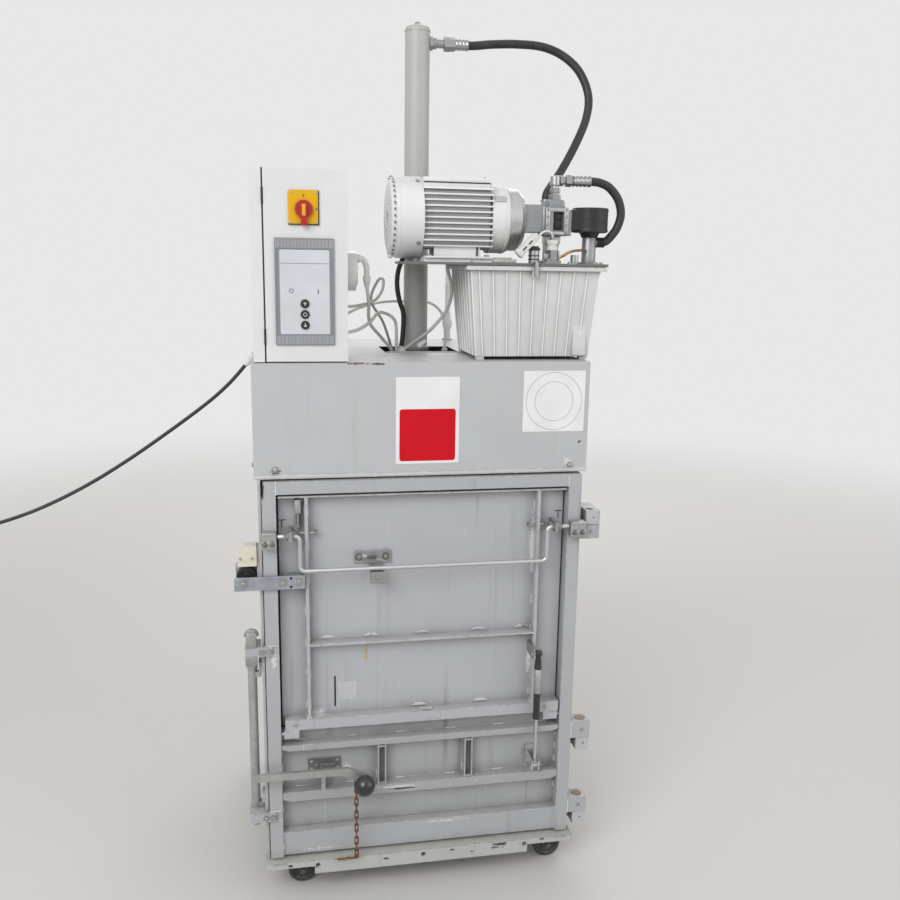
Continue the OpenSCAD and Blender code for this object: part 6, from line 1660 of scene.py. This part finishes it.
def make_gas_spring_details():
    """Collars, bare band, eyes and nuts of the gas spring."""
    kit = Kit()
    kit.turned((GAS_X, GAS_Y, 548), UP,
               [(0, 8.1), (0.6, 8.9), (9, 8.9), (10, 8.2), (13, 7.4), (18, 6.4), (19, 5)], sides=24)
    kit.nut((GAS_X, GAS_Y, 566), UP, 15, 7)
    kit.turned((GAS_X, GAS_Y, 419.4), UP, [(0, 5), (1, 8), (2, 8.7), (10, 8.7), (11, 8.1)], sides=24)
    kit.done("spring_collars", "gas_cylinder", spring_black, "spring_paint")
    Kit().sleeve((GAS_X, GAS_Y, 487), UP, [(0, 8.1), (0.4, 8.4), (60.6, 8.4), (61, 8.1)], 7.6).done(
        "spring_bare_band", "gas_cylinder", lock_zinc, "zinc_plated")
    kit = Kit()
    kit.nut((GAS_X, GAS_Y, 309), UP, 14, 6)
    kit.block((GAS_X - 6.4, GAS_Y - 7.4, 292), (GAS_X + 6.4, GAS_Y + 7.4, 311), edge=2.4)
    kit.done("spring_lower_eye", "gas_rod", bright_steel, "zinc_plated")
    kit = Kit()
    kit.nut((GAS_X - 14.6, GAS_Y, GAS_UPPER_Z), LEFT, 14, 5)
    kit.nut((GAS_X + 6.6, GAS_Y, GAS_UPPER_Z), RIGHT, 13, 4)
    kit.done("spring_upper_nuts", "flap", bright_steel, "zinc_plated")
    kit = Kit()
    kit.nut((GAS_X - 10.6, GAS_Y, GAS_LOWER_Z), LEFT, 13, 5)
    kit.nut((GAS_X + 10.6, GAS_Y, GAS_LOWER_Z), RIGHT, 13, 5)
    kit.done("spring_lower_nuts", "door", bright_steel, "zinc_plated")


# ---------------------------------------------------------------- lock lever, chain, safety switch
LOCK_X, LOCK_Y = -396, 20
ARM_BEND_Z = 317.8
KNOB_X, KNOB_Y, KNOB_Z = -146, -72, 304
CHAIN_X, CHAIN_Y, CHAIN_TOP = KNOB_X - 17, -40, 285
LINKS, LINK_PITCH = 11, 17


def make_lock_details():
    """The turned ball knob, its nut, the rings on the lever's tube and the weld beads of its arm."""
    kit = Kit()
    kit.turned((KNOB_X, KNOB_Y + 26, KNOB_Z), FRONT, [(0, 8), (1, 9.6), (3, 10), (5, 9)], sides=28)
    along, outward, steps = 24.3, 24.45, 28
    profile = [(-along * math.cos(a), outward * math.sin(a)) for a in (math.pi * k / steps for k in range(steps + 1))]
    profile[0], profile[-1] = (-along, 0), (along, 0)
    kit.turned((KNOB_X, KNOB_Y, KNOB_Z), FRONT, profile, sides=48)
    kit.done("ball_knob", "lock", gloss_black, "black_plastic", replaces=["lock_knob"], smooth=60)
    kit = Kit()
    kit.nut((KNOB_X, -49, KNOB_Z), FRONT, 17, 5)
    kit.rod((KNOB_X - 14, -34.5, KNOB_Z + 3), (KNOB_X - 14, -46, KNOB_Z + 3), 3.5, 16)
    kit.done("knob_stud_nut", "lock", bright_steel, "zinc_plated")
    kit = Kit()
    for z in (572, 590, 606):
        kit.turned((LOCK_X, LOCK_Y, z), UP, [(0, 10.4), (1, 12.6), (4, 12.6), (5, 10.4)], sides=24)
    kit.turned((LOCK_X, LOCK_Y, 173), UP, [(0, 8), (1, 10), (3, 11.6), (6, 11.6), (7, 10.4)], sides=24)
    kit.done("lock_tube_rings", "lock", lock_zinc, "zinc_plated")
    weld("lock_welds", "lock",
         [((-389.6, -44.7, 318.4), (-389.6, -44.7, 334)), ((-195, -44.7, 318.6), (-195, -44.7, 334)),
          ((-402.4, 8, ARM_BEND_Z), (-389.6, 8, ARM_BEND_Z))], lock_zinc, "zinc_plated", radius=1.8)


def make_chain():
    """The rusty chain's links and the toggle on its end, in place of the frame's plain chain."""
    points = [(CHAIN_X, CHAIN_Y, CHAIN_TOP - 6.9 - LINK_PITCH * i) for i in range(LINKS)]
    turns = [math.pi / 2 * (i % 2) + 0.16 * math.sin(2.4 * i) for i in range(LINKS)]
    links = grow("chain_links", CHAIN_LINKS, points, rusty, attributes={"turn": turns})
    kit = Kit().add(links.data)
    bpy.data.objects.remove(links)
    end = CHAIN_TOP - LINK_PITCH * LINKS - 1
    kit.rod((CHAIN_X - 46, CHAIN_Y, end), (CHAIN_X + 4, CHAIN_Y, end), 2.6, 16, 1.0)
    kit.ring((CHAIN_X, CHAIN_Y, end + 4), RIGHT, 4.6, 1.3, sides=20, around=8)
    kit.done("rusty_chain", "chain", rusty, "rusty_chain", replaces=["lock_chain"])


def make_safety_switch():
    """Trim, screws and bolts of the safety switch and the face of its roller."""
    kit = Kit()
    kit.block((-421, -1, 824), (-378, 29, 831), edge=1.5)
    kit.turned((-401, 17, 858), FRONT, [(-12, 13.2), (20, 13.2), (21.5, 12), (22, 0)], sides=32)
    kit.block((-420, -6, 836), (-381, -3, 852), edge=1.2)
    kit.done("switch_cover_trim", "machine", cream, "cream_plastic")
    fasten("switch_cover_screws", "machine", spots((-414, -388), -6, 844, FRONT), radius=2.6, height=1.6, corners=14,
           washer=1.2, washer_height=0.4)
    kit = Kit()
    kit.turned((-402, 5.6, 797), FRONT, [(0, 21), (0.8, 21.6), (2, 21), (2.2, 9), (3.6, 8), (3.8, 0)], sides=40)
    kit.done("roller_face", "roller", satin_black, "black_plastic")
    fasten("switch_bracket_bolts", "machine", spots(-378.2, 12, (782, 862), LEFT), radius=4.6, height=4)


# ---------------------------------------------------------------- castors
CASTOR_X = 309
CASTOR_Y = {"front": 34, "rear": 588}


def make_castor_details():
    """Axle nuts and swivel rings of the castors, and the bolts of the rear ones' plates."""
    for side, name in ((-1, "left"), (1, "right")):
        for end, y in CASTOR_Y.items():
            body, x = f"castor_{end}_{name}", side * CASTOR_X
            kit = Kit()
            for s in (-1, 1):
                kit.nut((x + 20, y + s * 19, 35), (0, s, 0), 14, 5)
            kit.turned((x, y, 75.4), UP, [(0, 21), (1, 22.4), (4, 22.4), (5, 21)], sides=32)
            kit.done(body + "_nuts", body, castor_zinc, "zinc_plated")
    plate_x, rear = [s * CASTOR_X + dx for s in (-1, 1) for dx in (-22, 22)], CASTOR_Y["rear"]
    fasten("castor_plate_bolts", "machine", spots(plate_x, (rear - 20, rear + 20), 92.2, UP), radius=4.2, height=3.4)


# The order counts: each piece keeps its place in the scene
for make in (lay_hoses_and_cables, make_hose_ends, make_motor_details, make_valve, make_filter, make_white_valve,
             make_plugs, make_tank_details, make_tank_ridge_highlights, make_conduit, make_socket, make_keypad, make_switch,
             make_cabinet_trim, make_housing_details, make_cylinder_details, make_door_fastenings, make_bearing_hood,
             make_door_welds, make_flap_welds, make_body_welds, make_grip_details, make_lug_spring, make_catch,
             make_flap_details, make_gas_spring_details, make_lock_details, make_chain, make_safety_switch,
             make_castor_details):
    make()


# ---------------------------------------------------------------- studio
BACKGROUND = srgb(232, 232, 232)
FLOOR_REACH = 12
# Name, place, width and power of each lamp
LAMPS = (("key", (-2.2, -3.2, 3.4), 2.6, 105), ("fill", (3.2, -2.4, 2.2), 3.0, 34), ("rear", (1.0, 3.4, 3.0), 3.0, 60))
LAMPS_AIM = Vector((0, 0, 1.0))


def make_floor():
    """A pale floor that fades into the background far from the machine."""
    f = Finish("studio_floor", srgb(206, 204, 200), 0.85)
    material = f.done()
    n = f.nodes
    far = n.put("ShaderNodeVectorMath", {0: f.place}, operation="LENGTH").outputs["Value"]
    shown = n.maths("MULTIPLY", n.fade(far, 1.6, 6.5), n.put("ShaderNodeLightPath").outputs["Is Camera Ray"])
    glow = n.put("ShaderNodeEmission", {"Color": BACKGROUND, "Strength": 1.0})
    both = n.put("ShaderNodeMixShader", {0: shown, 1: f.shader.outputs[0], 2: glow.outputs[0]})
    n.feed(material.node_tree.nodes["Material Output"].inputs["Surface"], both.outputs[0])
    mesh = bpy.data.meshes.new("studio_floor")
    corners = [(x * FLOOR_REACH, y * FLOOR_REACH, 0) for x, y in ((-1, -1), (1, -1), (1, 1), (-1, 1))]
    mesh.from_pydata(corners, [], [(0, 1, 2, 3)])
    new_piece("studio_floor", mesh, material)


def make_world():
    """Soft light from all round, and the plain background that the camera sees."""
    world = bpy.data.worlds.new("studio")
    bpy.context.scene.world = world
    world.use_nodes = True
    n = Nodes(world.node_tree)
    light = world.node_tree.nodes["Background"]
    light.inputs["Color"].default_value = (1.0, 0.992, 0.98, 1)
    light.inputs["Strength"].default_value = 0.6
    shown = n.put("ShaderNodeBackground", {"Color": BACKGROUND, "Strength": 1.0})
    path = n.put("ShaderNodeLightPath").outputs
    seen = n.maths("MAXIMUM", n.maths("MAXIMUM", path["Is Camera Ray"], path["Is Glossy Ray"]),
                   path["Is Transmission Ray"])
    both = n.put("ShaderNodeMixShader", {0: seen, 1: light.outputs[0], 2: shown.outputs[0]})
    n.feed(world.node_tree.nodes["World Output"].inputs["Surface"], both.outputs[0])


def make_lamps():
    """Three soft lamps, all aimed at the machine's middle."""
    for name, place, size, power in LAMPS:
        lamp = bpy.data.lights.new(name, "AREA")
        lamp.size = size
        lamp.energy = power
        obj = bpy.data.objects.new(name, lamp)
        obj.location = place
        obj.rotation_euler = (LAMPS_AIM - Vector(place)).to_track_quat("-Z", "Y").to_euler()
        bpy.context.collection.objects.link(obj)


make_floor()
make_world()
make_lamps()
bpy.context.scene.view_settings.view_transform = "Standard"
